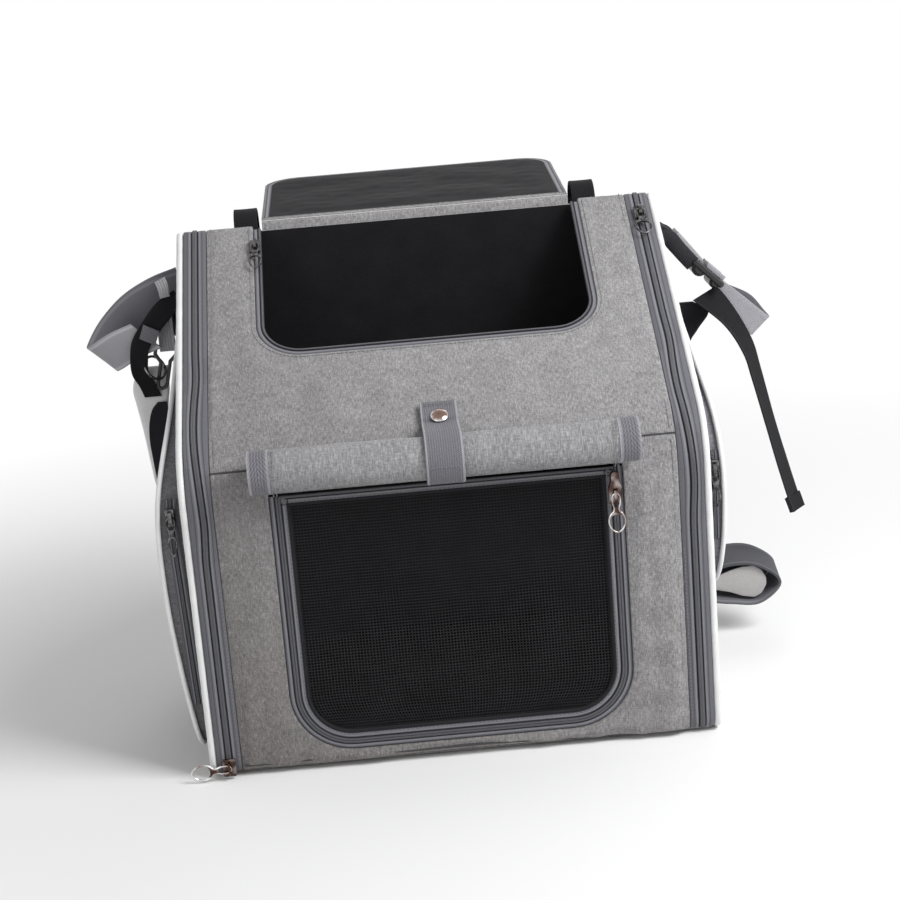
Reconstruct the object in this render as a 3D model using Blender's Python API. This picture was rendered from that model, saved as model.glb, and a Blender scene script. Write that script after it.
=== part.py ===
# Soft-sided dog carrier that straps to a bicycle's handlebar.
# X is the viewer's right, Y runs to the back, Z is up; metres.
# The origin is the middle of the bottom panel's underside.

import bpy
import bmesh
from math import asin, atan2, ceil, cos, floor, pi, radians, sin, sqrt
from mathutils import Matrix, Vector

# Driving dimensions of the body
BODY_WIDTH = 0.355
BODY_DEPTH = 0.220
BEND_HEIGHT = 0.2255
TOP_HEIGHT = 0.3585
WALL = 0.0032
CLEARANCE = 0.0003
BOTTOM_RADIUS = 0.012
BEND_RADIUS = 0.050
TOP_RADIUS = 0.004
LEAST_RADIUS = 0.0002
CUT_OVERRUN = 0.010

# Edge zips and piping
EDGE_ZIP_WIDTH = 0.0175
COIL_WIDTH = 0.0048
COIL_RISE = 0.0008
PIPING_DIAMETER = 0.0045

# Mesh window, its zip and its door
WINDOW_MARGIN = 0.070
WINDOW_WIDTH = BODY_WIDTH - 2 * WINDOW_MARGIN
WINDOW_SILL = 0.0266
WINDOW_HEAD_DROP = 0.0220
WINDOW_HEAD = BEND_HEIGHT - WINDOW_HEAD_DROP
WINDOW_CORNER = 0.030
TAPE_WIDTH = 0.0060
TAPE_THICKNESS = 0.0014
TAPE_RECESS = 0.0008
HALF_COIL = 0.0022
DOOR_THICKNESS = 0.0016
BINDING_WIDTH = 0.0020
NET_THICKNESS = 0.0008
NET_STRAND = 0.0014
NET_COLUMNS = 12
NET_ROWS = 9

# Head opening in the slope and the door that closes it
HEAD_MARGIN = 0.053
HEAD_WIDTH = BODY_WIDTH - 2 * HEAD_MARGIN
HEAD_FRONT = 0.107
HEAD_CORNER = 0.034
TOP_DOOR_THICKNESS = 0.0024
TOP_DOOR_BEAD = 0.0005
TOP_DOOR_TAPE = 0.0002
TOP_DOOR_LINING = 0.0008
TOP_DOOR_SET_BACK = 0.0028
TOP_DOOR_REST = radians(4.0)
TOP_DOOR_REACH = 0.0045
HINGE_STRIP_HEIGHT = 0.030
HINGE_STRIP_THICKNESS = 0.0008
HINGE_TIP_SHARES = (4, 5.5, 3.6, 3.75)

# Rolled curtain, its bindings and the strap that holds it
ROLL_RADIUS = 0.0163
ROLL_CORE = 0.0030
ROLL_TURNS = 3.25
ROLL_CLOTH = 0.0024
ROLL_MARGIN = 0.045
ROLL_LENGTH = BODY_WIDTH - 2 * ROLL_MARGIN
ROLL_CENTRE_DROP = 0.0013
BINDING_LENGTH = 0.014
STRAP_WIDTH = 0.026
STRAP_THICKNESS = 0.0016
STRAP_END = 0.043
SNAP_PLACE = 0.0285
SNAP_CAP_DIAMETER = 0.0125
SNAP_CAP_RISE = 0.0030
SNAP_BASE_DIAMETER = 0.0100
SNAP_POST_DIAMETER = 0.0036
SNAP_FLANGE = 0.0012
SNAP_STUD_BASE = 0.0008

# Inside
BASE_BOARD_THICKNESS = 0.0030
INNER_MARGIN = 0.004
CUSHION_HEIGHT = 0.022
CUSHION_CROWN = 0.007
CUSHION_DRAW_IN = 0.004
CUSHION_EDGE = 0.012

# Side pockets: how full, and how far down, each one is
POCKET_MARGIN = 0.0145
POCKET_REAR_MARGIN = 0.042
POCKET_CORNER = 0.026
POCKET_WALL = 0.0014
POCKET_CROWN = 0.0040
POCKET_PIPING = 0.0036
POCKET_ZIP_WIDTH = 0.0064
POCKET_ZIP_THICKNESS = 0.0012
LEFT_POCKET_BULGE = 0.0240
LEFT_POCKET_FOOT = 0.016
LEFT_POCKET_ZIP_FOOT = 0.052
RIGHT_POCKET_BULGE = 0.0158
RIGHT_POCKET_FOOT = 0.104
RIGHT_POCKET_ZIP_FOOT = 0.140
POCKET_ZIP_HEAD = 0.205
POCKET_ZIP_PLACE_SHARE = 0.62
POCKET_PULL_SHARE = 0.50
LEFT_BULGE_SHARES = (0.45, 0.78, 0.98, 0.92, 0.42, 0.12)
RIGHT_BULGE_SHARES = (0.55, 0.95, 1.00, 0.82, 0.40, 0.16)
POCKET_RING_SHARES = ((0.8, 0.6), (0.45, 1))

# Zip sliders and their wire pulls
SLIDER_LENGTH = 0.0130
SLIDER_WIDTH = 0.0090
SLIDER_BODY = 0.0026
SLIDER_BEVEL = 0.0006
BRIDGE_SPAN = 0.0086
BRIDGE_WIDTH = 0.0024
SIDEWAYS_BRIDGE_WIDTH = 0.0014
BRIDGE_BAR = 0.0011
BRIDGE_SINK = 0.0006
PULL_WIRE = 0.0016
PULL_LIFT = 0.0004
PULL_LENGTH = 0.0280
PULL_WIDTH = 0.0125
PULL_NECK = 0.0030
PULL_REACH = 0.0012
PULL_SHARES = ((0.34, 0), (0.45, 0), (0.58, 0.72), (0.76, 1), (0.91, 0.8), (1, 0.3))
PULL_GRIP_SHARE = 0.26
WINDOW_SLIDER_DROP = 0.0130
EDGE_SLIDER_HEIGHT = 0.0085
REAR_SLIDER_SET_IN = 0.0310
HEAD_SLIDER_SET_IN = 0.0310
HEAD_PULL_SHARE = 0.80
EDGE_PULL_DIRECTION = (-1, 0, -0.06)

# Handlebar straps
BAR_DIAMETER = 0.032
BAR_STRAP_WIDTH = 0.018
BAR_STRAP_THICKNESS = 0.0018
BAR_STRAP_SET_IN = 0.0475
BAR_DROP = 0.0105
BAR_STRAP_TAIL = 0.085

# Shoulder straps, their tabs, buckles, loops and hooks
WEBBING_WIDTH = 0.025
WEBBING_THICKNESS = 0.0018
BUCKLE_LENGTH = 0.030
BUCKLE_WIDTH = 0.033
BUCKLE_THICKNESS = 0.0050
BUCKLE_BAR = 0.0040
BUCKLE_BEVEL = 0.0012
BUCKLE_RIM = 0.0035
BUCKLE_SET_IN = 0.0220
PAD_THICKNESS = 0.0080
PAD_SET_IN = 0.0168
STRAP_LOOP_WIDTH = 0.0297
LEFT_ANCHOR = (0.0131, 0.018, 0.032)
LEFT_ANCHOR_SET_IN = 0.0120
LEFT_ANCHOR_DROP = 0.0444
LEFT_LOOP_START = (0.0273, 0.0108, 0.0237)
LEFT_LOOP_REACH = 0.0537
LEFT_LOOP_ACROSS_SHARES = (0.724, 0, -0.690)
LEFT_LOOP_SHARES = ((0, 0, 0), (-0.559, 0.019, -0.400), (-0.875, -0.028, -0.624), (-1, -0.140, -0.717),
                    (-0.940, -0.270, -0.708), (-0.652, -0.372, -0.540), (-0.326, -0.410, -0.419))
LEFT_PAD_REACH = 0.0495
LEFT_PAD_DROP = 0.0694
LEFT_PAD_LENGTH = 0.139
LEFT_PAD_WIDTH = 0.034
LEFT_PAD_SHARES = ((0, 0, 0.25), (-0.006, 0.079, 0.265), (-0.006, 0.162, 0.529), (0.006, 0.259, 0.882),
                   (0.088, 0.475, 1), (0.235, 0.727, 1), (0.362, 0.921, 0.971), (0.403, 1, 0.765))
RIGHT_PAD_DROP = 0.0676
RIGHT_PAD_LENGTH = 0.120
RIGHT_PAD_WIDTH = 0.0418
RIGHT_PAD_SHARES = ((0, 0.718), (0.073, 1), (0.185, 0.782), (0.292, 0.603), (0.583, 0.431), (1, 0.431))
HOOK_SET_IN = 0.0255
HOOK_TAB_DROP = 0.0714
HOOK_TAB_LENGTH = 0.0270
HOOK_TAB_WIDTH = 0.012
HOOK_TAB_THICKNESS = 0.0012
HOOK_TAB_GAP = 0.0046
HOOK_TAB_REACH = 0.0137
HOOK_BAR = 0.0028
HOOK_SLOT = 0.0044
HOOK_LENGTH = 0.033
HOOK_LEAN = 0.0080
HOOK_SLIM_SHARES = ((1, 0.37), (1, 0.88), (0.7, 0.97))
HOOK_EYE_SHARES = ((0.8, 0), (1, 0.06), (1, 0.17))
RING_RADIUS = 0.0095
RING_WIRE = 0.0022
RING_SHARE = 0.72
RING_FIRST_AXIS = (-0.60, 0, 0.80)
RING_SECOND_AXIS = (0.45, 0.83, 0.33)
RIGHT_ANCHOR_DROP = 0.0196
RIGHT_ANCHOR_REACH = 0.0294
RIGHT_ANCHOR_SHARES = ((0.187, 0.493), (0.442, 0.340), (1, -0.415))
RIGHT_ANCHOR_SEWN_SHARE = 0.306
BUCKLE_REACH = 0.0400
BUCKLE_DROP = 0.0431
BUCKLE_TILT = radians(45.3)
TAIL_SET_IN = 0.0300
TAIL_START = (0.0376, 0.0589)
TAIL_REACH = 0.0664
TAIL_FALL = 0.1799
TAIL_REACH_SHARES = (0, 0.273, 0.470, 0.562, 0.709, 0.837, 1)
TAIL_FALL_SHARES = (0, 0.113, 0.247, 0.371, 0.600, 0.787, 1)
TAIL_SEEN_SHARES = (0.88, 0.56, 0.48, 0.44, 0.38, 0.36, 0.36)
TAIL_LIFT_DEGREES = (20, 35, 28, 18, 14, 15, 16)
RIGHT_LOOP_START = (0.0530, 0.0160, 0.0519)
RIGHT_LOOP_REACH = 0.0375
RIGHT_LOOP_WIDTH = 0.0201
RIGHT_LOOP_ACROSS_SHARES = (-0.727, 0, -0.687)
RIGHT_LOOP_SHARES = ((0, 0, 0), (0.493, 0, -0.445), (0.867, 0.040, -0.792), (1, 0.173, -0.899),
                     (0.920, 0.307, -0.792), (0.640, 0.347, -0.445), (0.131, 0.333, -0.163))
LOWER_LOOP_SET_IN = 0.0350
LOWER_LOOP_HEIGHT = 0.0470
LOWER_LOOP_REACH = 0.0870
LOWER_LOOP_ACROSS_SHARES = (0, 0.962, 0.275)
LOWER_LOOP_SHARES = ((0, 0), (0.282, 0.057), (0.546, 0.129), (0.799, 0.098), (1, -0.076),
                     (0.809, -0.254), (0.546, -0.239), (0.282, -0.195), (0, -0.161))

# Steps along round stretches
BOTTOM_STEPS = 4
BEND_STEPS = 8
TOP_STEPS = 3
CORNER_STEPS = 7
TUBE_SIDES = 8
WIRE_SIDES = 6
TURN_STEPS = 24
BULGE_STEPS = 6


def clear_scene():
    for item in list(bpy.data.objects):
        bpy.data.objects.remove(item, do_unlink=True)


def make_material(name, colour, roughness, metallic=0.0):
    finish = bpy.data.materials.new(name)
    finish.use_nodes = True
    shader = finish.node_tree.nodes["Principled BSDF"]
    shader.inputs["Base Color"].default_value = (*colour, 1.0)
    shader.inputs["Roughness"].default_value = roughness
    shader.inputs["Metallic"].default_value = metallic
    return finish


class Outline:
    """A closed convex line in a plane with rounded corners, walked by distance."""

    def __init__(self, corners, radii, steps):
        self.corners = [Vector(corner) for corner in corners]
        self.radii = radii
        self.steps = steps
        count = len(corners)
        pairs = [(self.corners[i], self.corners[(i + 1) % count]) for i in range(count)]
        area = sum(a.x * b.y - b.x * a.y for a, b in pairs)
        self.turn = 1.0 if area > 0 else -1.0
        self.points = self.line(0)
        self.stations = [0]
        for a, b in zip(self.points, self.points[1:] + self.points[:1]):
            self.stations.append(self.stations[-1] + (b - a).length)

    def line(self, inset):
        """The whole line moved inwards by inset, with the same points in number."""
        count = len(self.corners)
        found = []
        for i in range(count):
            here = self.corners[i]
            before = (here - self.corners[i - 1]).normalized()
            after = (self.corners[(i + 1) % count] - here).normalized()
            first = Vector((-before.y, before.x)) * self.turn
            last = Vector((-after.y, after.x)) * self.turn
            bisector = (first + last) / (1.0 + first.dot(last))
            radius = max(self.radii[i] - inset, LEAST_RADIUS)
            centre = here + bisector * (inset + radius)
            sweep_angle = atan2(first.x * last.y - first.y * last.x, first.dot(last))
            for k in range(self.steps[i] + 1):
                turn = Matrix.Rotation(sweep_angle * k / self.steps[i], 2)
                found.append(centre - (turn @ first) * radius)
        return found

    def mark(self, corner, share):
        """Distance along the line to a share of the way round a corner's arc."""
        index = sum(step + 1 for step in self.steps[:corner]) + share * self.steps[corner]
        low = int(floor(index))
        part = index - low
        return self.stations[low] * (1.0 - part) + self.stations[low + 1] * part

    def index_at(self, distance):
        low = 0
        while low < len(self.points) - 1 and self.stations[low + 1] <= distance:
            low += 1
        span = self.stations[low + 1] - self.stations[low]
        return low + min((distance - self.stations[low]) / span, 1.0)

    def run(self, start, end, inset):
        """Points of the inset line between two distances along the outer line."""
        line = self.line(inset)
        first = self.index_at(start)
        last = self.index_at(end)
        middle = range(int(floor(first)) + 1, int(ceil(last)))
        found = []
        for index in [first, *middle, last]:
            low = int(floor(index))
            a = line[low % len(line)]
            b = line[(low + 1) % len(line)]
            found.append(a.lerp(b, index - low))
        return found


def finish_mesh(name, vertices, faces, material, sharp=radians(35)):
    mesh = bpy.data.meshes.new(name)
    builder = bmesh.new()
    made = [builder.verts.new(vertex) for vertex in vertices]
    for face in faces:
        builder.faces.new([made[i] for i in face])
    bmesh.ops.recalc_face_normals(builder, faces=builder.faces[:])
    builder.to_mesh(mesh)
    builder.free()
    mesh.shade_smooth()
    mesh.set_sharp_from_angle(angle=sharp)
    mesh.materials.append(material)
    item = bpy.data.objects.new(name, mesh)
    bpy.context.scene.collection.objects.link(item)
    return item


def loft(name, rows, material, closed_path=False):
    """Joins rows of points, each row a closed section, into one closed solid."""
    width = len(rows[0])
    vertices = [point for row in rows for point in row]
    faces = []
    last = len(rows) if closed_path else len(rows) - 1
    for i in range(last):
        here = i * width
        there = ((i + 1) % len(rows)) * width
        for j in range(width):
            k = (j + 1) % width
            faces.append((here + j, here + k, there + k, there + j))
    if not closed_path:
        faces.append(tuple(range(width)))
        faces.append(tuple(range((len(rows) - 1) * width, len(rows) * width)))
    return finish_mesh(name, vertices, faces, material)


def sweep(name, outline, section, place, material, start=None, end=None):
    """Carries a section of (depth, inset) points along an outline."""
    whole = start is None
    lines = []
    for depth, inset in section:
        line = outline.line(inset) if whole else outline.run(start, end, inset)
        lines.append([place(point.x, point.y, depth) for point in line])
    return loft(name, [list(row) for row in zip(*lines)], material, closed_path=whole)


def round_section(depth, inset, radius, sides):
    turns = [2 * pi * k / sides for k in range(sides)]
    return [(depth + radius * cos(turn), inset + radius * sin(turn)) for turn in turns]


def band(name, path, thickness, near, far, place, material):
    """A strip of even thickness along a path of flat points, from near to far across."""
    rows = []
    for i, point in enumerate(path):
        before = (point - path[i - 1]).normalized() if i > 0 else None
        after = (path[i + 1] - point).normalized() if i < len(path) - 1 else None
        before = before if before else after
        after = after if after else before
        normal = Vector((-before.y, before.x))
        other = Vector((-after.y, after.x))
        mitre = (normal + other) / (1.0 + normal.dot(other)) * (thickness / 2)
        left = point + mitre
        right = point - mitre
        rows.append([place(left.x, left.y, near), place(left.x, left.y, far),
                     place(right.x, right.y, far), place(right.x, right.y, near)])
    return loft(name, rows, material)


def smooth_path(points, per):
    """A smooth curve through flat points, with per steps between neighbours."""
    ends = [points[0] * 2 - points[1], *points, points[-1] * 2 - points[-2]]
    found = []
    for a, b, c, d in zip(ends, ends[1:], ends[2:], ends[3:]):
        for k in range(per):
            t = k / per
            found.append(0.5 * (2 * b + (c - a) * t + (2 * a - 5 * b + 4 * c - d) * t ** 2
                                + (3 * b - 3 * c + d - a) * t ** 3))
    found.append(points[-1])
    return found


def arc(centre, radius, start, end, steps):
    turns = [start + (end - start) * k / steps for k in range(steps + 1)]
    return [Vector((centre.x + radius * cos(t), centre.y + radius * sin(t))) for t in turns]


def frame_at(origin, along, across):
    """Place function for a free strip: u runs along, depth runs across."""
    along = Vector(along).normalized()
    across = Vector(across)
    across = (across - along * across.dot(along)).normalized()
    up = across.cross(along)
    return lambda u, v, depth: origin + along * u + up * v + across * depth


def box(name, centre, size, bevel, material, axes=None):
    """A block with rounded edges, turned to axes where they are given."""
    builder = bmesh.new()
    bmesh.ops.create_cube(builder, size=1.0)
    bmesh.ops.scale(builder, vec=size, verts=builder.verts)
    bmesh.ops.bevel(builder, geom=builder.edges[:], offset=bevel, segments=1, affect="EDGES")
    if axes:
        turn = Matrix(axes).transposed().to_4x4()
        bmesh.ops.transform(builder, matrix=turn, verts=builder.verts)
    bmesh.ops.translate(builder, vec=centre, verts=builder.verts)
    bmesh.ops.recalc_face_normals(builder, faces=builder.faces[:])
    mesh = bpy.data.meshes.new(name)
    builder.to_mesh(mesh)
    builder.free()
    mesh.materials.append(material)
    item = bpy.data.objects.new(name, mesh)
    bpy.context.scene.collection.objects.link(item)
    return item


def hide_guide(item):
    item.hide_render = True
    item.display_type = "WIRE"


def boolean(item, other, operation):
    change = item.modifiers.new(operation.lower(), "BOOLEAN")
    change.operation = operation
    change.object = other
    hide_guide(other)


def turned(name, profile, centre, axis, sides, material):
    """A solid of revolution from (radius, height) points, its ends on the axis."""
    axis = Vector(axis).normalized()
    side = axis.orthogonal().normalized()
    other = axis.cross(side)
    vertices = []
    rings = []
    for radius, height in profile:
        start = len(vertices)
        if radius == 0:
            vertices.append(centre + axis * height)
            rings.append([start])
            continue
        for k in range(sides):
            turn = 2 * pi * k / sides
            spoke = side * cos(turn) + other * sin(turn)
            vertices.append(centre + axis * height + spoke * radius)
        rings.append(list(range(start, start + sides)))
    faces = []
    for low, high in zip(rings, rings[1:]):
        for k in range(sides):
            m = (k + 1) % sides
            corners = [low[k % len(low)], low[m % len(low)], high[m % len(high)], high[k % len(high)]]
            faces.append(tuple(dict.fromkeys(corners)))
    return finish_mesh(name, vertices, faces, material)


def wire_loop(name, points, diameter, sides, material):
    """A closed wire through points that lie in one plane."""
    centre = sum(points, Vector()) / len(points)
    normal = sum(((a - centre).cross(b - centre) for a, b in zip(points, points[1:] + points[:1])),
                 Vector()).normalized()
    rows = []
    for i, point in enumerate(points):
        before = (point - points[i - 1]).normalized()
        after = (points[(i + 1) % len(points)] - point).normalized()
        outward = (before.cross(normal) + after.cross(normal)) / (1.0 + before.dot(after))
        row = []
        for k in range(sides):
            turn = 2 * pi * k / sides
            row.append(point + (outward * cos(turn) + normal * sin(turn)) * (diameter / 2))
        rows.append(row)
    return loft(name, rows, material, closed_path=True)


def pivot(name, place):
    """An empty on a joint's axis, which carries the pieces that turn or slide there."""
    empty = bpy.data.objects.new(name, None)
    empty.location = place
    bpy.context.scene.collection.objects.link(empty)
    return empty


def carry(empty, *items):
    for item in items:
        item.data.transform(Matrix.Translation(-empty.location))
        item.parent = empty


# The side profile: front foot, bend, rear top, rear foot
FRONT = -BODY_DEPTH / 2
BACK = BODY_DEPTH / 2
SLOPE_ANGLE = atan2(TOP_HEIGHT - BEND_HEIGHT, BODY_DEPTH)
SLOPE_LENGTH = sqrt((TOP_HEIGHT - BEND_HEIGHT) ** 2 + BODY_DEPTH ** 2)
FRONT_FOOT, BEND, REAR_TOP, REAR_FOOT = range(4)
PROFILE = Outline([(FRONT, 0), (FRONT, BEND_HEIGHT), (BACK, TOP_HEIGHT), (BACK, 0)],
                  [BOTTOM_RADIUS, BEND_RADIUS, TOP_RADIUS, BOTTOM_RADIUS],
                  [BOTTOM_STEPS, BEND_STEPS, TOP_STEPS, BOTTOM_STEPS])
SIDE_FACE = BODY_WIDTH / 2
PANEL_HALF = SIDE_FACE - EDGE_ZIP_WIDTH
SEAM = PROFILE.mark(BEND, 0.5)
FRONT_START = PROFILE.mark(FRONT_FOOT, 0.5)
BACK_START = PROFILE.mark(REAR_TOP, 1.0)
BACK_END = PROFILE.mark(REAR_FOOT, 0.5)


def on_side(u, v, depth):
    return Vector((depth, u, v))


def on_front(u, v, depth):
    return Vector((u, FRONT + depth, v))


def on_slope(u, v, depth):
    y = FRONT + v * cos(SLOPE_ANGLE) + depth * sin(SLOPE_ANGLE)
    z = BEND_HEIGHT + v * sin(SLOPE_ANGLE) - depth * cos(SLOPE_ANGLE)
    return Vector((u, y, z))


def wall_section(low, high):
    return [(low, 0), (high, 0), (high, WALL), (low, WALL)]


def make_shell(fabric):
    """Front, hood, back, bottom and side panels, a clearance apart at their seams."""
    half_gap = CLEARANCE / 2
    inner = PANEL_HALF - half_gap
    outer = SIDE_FACE
    front = sweep("front_panel", PROFILE, wall_section(-inner, inner), on_side, fabric,
                  FRONT_START, SEAM - half_gap)
    hood = sweep("hood_panel", PROFILE, wall_section(-inner, inner), on_side, fabric,
                 SEAM + half_gap, BACK_START)
    back = sweep("back_panel", PROFILE, wall_section(-outer, outer), on_side, fabric,
                 BACK_START + CLEARANCE, BACK_END - half_gap)
    bottom_line = PROFILE.run(BACK_END + half_gap, PROFILE.stations[-1], 0)
    bottom_line += PROFILE.run(0, FRONT_START - CLEARANCE, 0)[1:]
    inner_line = PROFILE.run(BACK_END + half_gap, PROFILE.stations[-1], WALL)
    inner_line += PROFILE.run(0, FRONT_START - CLEARANCE, WALL)[1:]
    rows = []
    for a, b in zip(bottom_line, inner_line):
        rows.append([on_side(a.x, a.y, -outer), on_side(a.x, a.y, outer),
                     on_side(b.x, b.y, outer), on_side(b.x, b.y, -outer)])
    loft("bottom_panel", rows, fabric)
    for name, sign in (("left_side_panel", -1), ("right_side_panel", 1)):
        line = PROFILE.line(WALL + CLEARANCE)
        rows = [[on_side(p.x, p.y, sign * depth) for p in line]
                for depth in (SIDE_FACE - WALL, SIDE_FACE)]
        loft(name, rows, fabric)
    cut_window(front, fabric)
    cut_head(hood, back, fabric)


def window_outline(grow=0.0, head=WINDOW_HEAD):
    """Line round the window's clear opening, grown outwards by grow at sides and sill."""
    half = WINDOW_WIDTH / 2 + grow
    sill = WINDOW_SILL - grow
    corner = WINDOW_CORNER + grow
    return Outline([(half, head), (half, sill), (-half, sill), (-half, head)],
                   [LEAST_RADIUS, corner, corner, LEAST_RADIUS],
                   [1, CORNER_STEPS, CORNER_STEPS, 1])


def cut_window(front, fabric):
    grow = TAPE_WIDTH * 2 + BINDING_WIDTH + CLEARANCE
    head = WINDOW_HEAD + DOOR_THICKNESS + CLEARANCE
    opening = window_outline(grow, head)
    rows = [[on_front(p.x, p.y, depth) for p in opening.line(0)]
            for depth in (-CUT_OVERRUN, CUT_OVERRUN)]
    boolean(front, loft("window_cutter", rows, fabric), "DIFFERENCE")


def head_outline(inset):
    """U line of the head opening on the slope, open past the rear top edge."""
    half = HEAD_WIDTH / 2 - inset
    front = HEAD_FRONT + inset
    far = SLOPE_LENGTH + CUT_OVERRUN
    corner = HEAD_CORNER - inset
    return Outline([(half, far), (half, front), (-half, front), (-half, far)],
                   [LEAST_RADIUS, corner, corner, LEAST_RADIUS],
                   [1, CORNER_STEPS, CORNER_STEPS, 1])


def cut_head(hood, back, fabric):
    opening = head_outline(0)
    rows = [[on_slope(p.x, p.y, depth) for p in opening.line(0)]
            for depth in (-CUT_OVERRUN, CUT_OVERRUN)]
    boolean(hood, loft("head_cutter", rows, fabric), "DIFFERENCE")


def zip_section(width, front, back, coil, coil_side):
    """Half of a zip: a flat tape with its half coil standing proud at one edge."""
    proud = front - COIL_RISE
    points = [(back, 0), (front, 0), (front, width - coil), (proud, width - coil),
              (proud, width), (back, width)]
    if coil_side < 0:
        points = [(depth, width - across) for depth, across in points]
    return points


def make_edge_zips(tape):
    """Zips up the front edges and along the slope, with a coil in the middle of each."""
    middle = EDGE_ZIP_WIDTH / 2
    half_coil = COIL_WIDTH / 2
    near = PANEL_HALF + CLEARANCE / 2
    far = SIDE_FACE
    centre = near + middle
    for name, sign in (("left_edge_zip", -1), ("right_edge_zip", 1)):
        across = [(near, WALL), (near, 0), (centre - half_coil, 0),
                  (centre - half_coil, -COIL_RISE), (centre + half_coil, -COIL_RISE),
                  (centre + half_coil, 0), (far, 0), (far, WALL)]
        section = [(sign * depth, inset) for depth, inset in across]
        sweep(name, PROFILE, section, on_side, tape, FRONT_START, BACK_START)


def make_piping(cord):
    """White piping round both side profiles, just outside the side panels' seams."""
    radius = PIPING_DIAMETER / 2
    depth = SIDE_FACE + CLEARANCE + radius
    for name, sign in (("left_piping", -1), ("right_piping", 1)):
        section = round_section(sign * depth, radius + CLEARANCE, radius, TUBE_SIDES)
        sweep(name, PROFILE, section, on_side, cord)


def make_window(tape, net):
    """The window's fixed zip half, and the door with its own half and its net."""
    line = window_outline(TAPE_WIDTH + BINDING_WIDTH)
    start = line.mark(0, 1.0)
    end = line.mark(3, 0.0)
    face = TAPE_RECESS + COIL_RISE
    fixed = [(depth, -across - CLEARANCE / 2) for depth, across in
             zip_section(TAPE_WIDTH, face, face + TAPE_THICKNESS, HALF_COIL, -1)]
    sweep("window_zip", line, fixed, on_front, tape, start, end)

    hinge = Vector((0, FRONT + face + DOOR_THICKNESS / 2, WINDOW_HEAD))
    turn = pivot("window_door_axis", hinge)
    door_tape = [(depth, across + CLEARANCE / 2) for depth, across in
                 zip_section(TAPE_WIDTH, face, face + DOOR_THICKNESS, HALF_COIL, -1)]
    frame = sweep("window_frame", line, door_tape, on_front, tape)
    mesh = make_net("window_net", face + DOOR_THICKNESS + CLEARANCE, net)
    carry(turn, frame, mesh)
    return turn


def make_net(name, depth, material):
    """Flat net of square gaps behind the door's binding, drawn in round its lower corners."""
    half = WINDOW_WIDTH / 2 + BINDING_WIDTH * 2
    low = WINDOW_SILL - BINDING_WIDTH * 2
    high = WINDOW_HEAD - TAPE_WIDTH / 2
    corner = WINDOW_CORNER

    def ticks(length, count):
        pitch = (length - NET_STRAND) / count
        found = []
        for k in range(count + 1):
            found += [k * pitch, k * pitch + NET_STRAND]
        return found

    across = [value - half for value in ticks(2 * half, NET_COLUMNS)]
    upward = [value + low for value in ticks(high - low, NET_ROWS)]

    def place(u, v, layer):
        lift = max(corner - (v - low), 0)
        narrow = corner - sqrt(max(corner ** 2 - lift ** 2, 0))
        return on_front(u * (half - narrow) / half, v, depth + layer)

    columns = len(across)
    vertices = []
    for layer in (0, NET_THICKNESS):
        vertices += [place(u, v, layer) for v in upward for u in across]
    shift = columns * len(upward)
    faces = []

    def solid_cell(i, j):
        inside = 0 <= i < columns - 1 and 0 <= j < len(upward) - 1
        return inside and (i % 2 == 0 or j % 2 == 0)

    for j in range(len(upward) - 1):
        for i in range(columns - 1):
            if not solid_cell(i, j):
                continue
            a = j * columns + i
            quad = (a, a + 1, a + 1 + columns, a + columns)
            faces.append(quad)
            faces.append(tuple(k + shift for k in quad))
            sides = ((i, j - 1, a, a + 1), (i, j + 1, a + columns, a + 1 + columns),
                     (i - 1, j, a, a + columns), (i + 1, j, a + 1, a + 1 + columns))
            for ni, nj, p, q in sides:
                if not solid_cell(ni, nj):
                    faces.append((p, q, q + shift, p + shift))
    return finish_mesh(name, vertices, faces, material)


def make_head_zip(tape):
    """Fixed zip half round the head opening, its coil along the inner edge."""
    line = head_outline(CLEARANCE)
    start = line.mark(0, 1.0) + CUT_OVERRUN + TOP_RADIUS * 2
    end = line.mark(3, 0.0) - CUT_OVERRUN - TOP_RADIUS * 2
    face = TAPE_RECESS
    section = zip_section(TAPE_WIDTH, face, face + TAPE_THICKNESS, HALF_COIL, 1)
    sweep("head_zip", line, section, on_slope, tape, start, end)


def make_hinge_strip(hinge, half, fabric):
    """Strip sewn to the back panel, its tip between where the door hangs and where it closes."""
    sewn = BACK + CLEARANCE
    face = sewn + HINGE_STRIP_THICKNESS

    def from_hinge(reach, degrees):
        return (hinge.y + reach * cos(radians(degrees)), hinge.z + reach * sin(radians(degrees)))

    tip = TOP_DOOR_BEAD + CLEARANCE
    outer_reach, outer_drop, inner_drop, inner_reach = [tip * share for share in HINGE_TIP_SHARES]
    hem = hinge.z - HINGE_STRIP_HEIGHT
    line = [from_hinge(tip, 235.5), from_hinge(tip, 251.5), from_hinge(outer_reach, 250),
            (face, hinge.z - outer_drop), (face, hem), (sewn, hem), (sewn, hinge.z - inner_drop),
            from_hinge(inner_reach, 226)]
    rows = [[Vector((x, y, z)) for y, z in line] for x in (-half, half)]
    loft("hinge_strip", rows, fabric)


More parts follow.
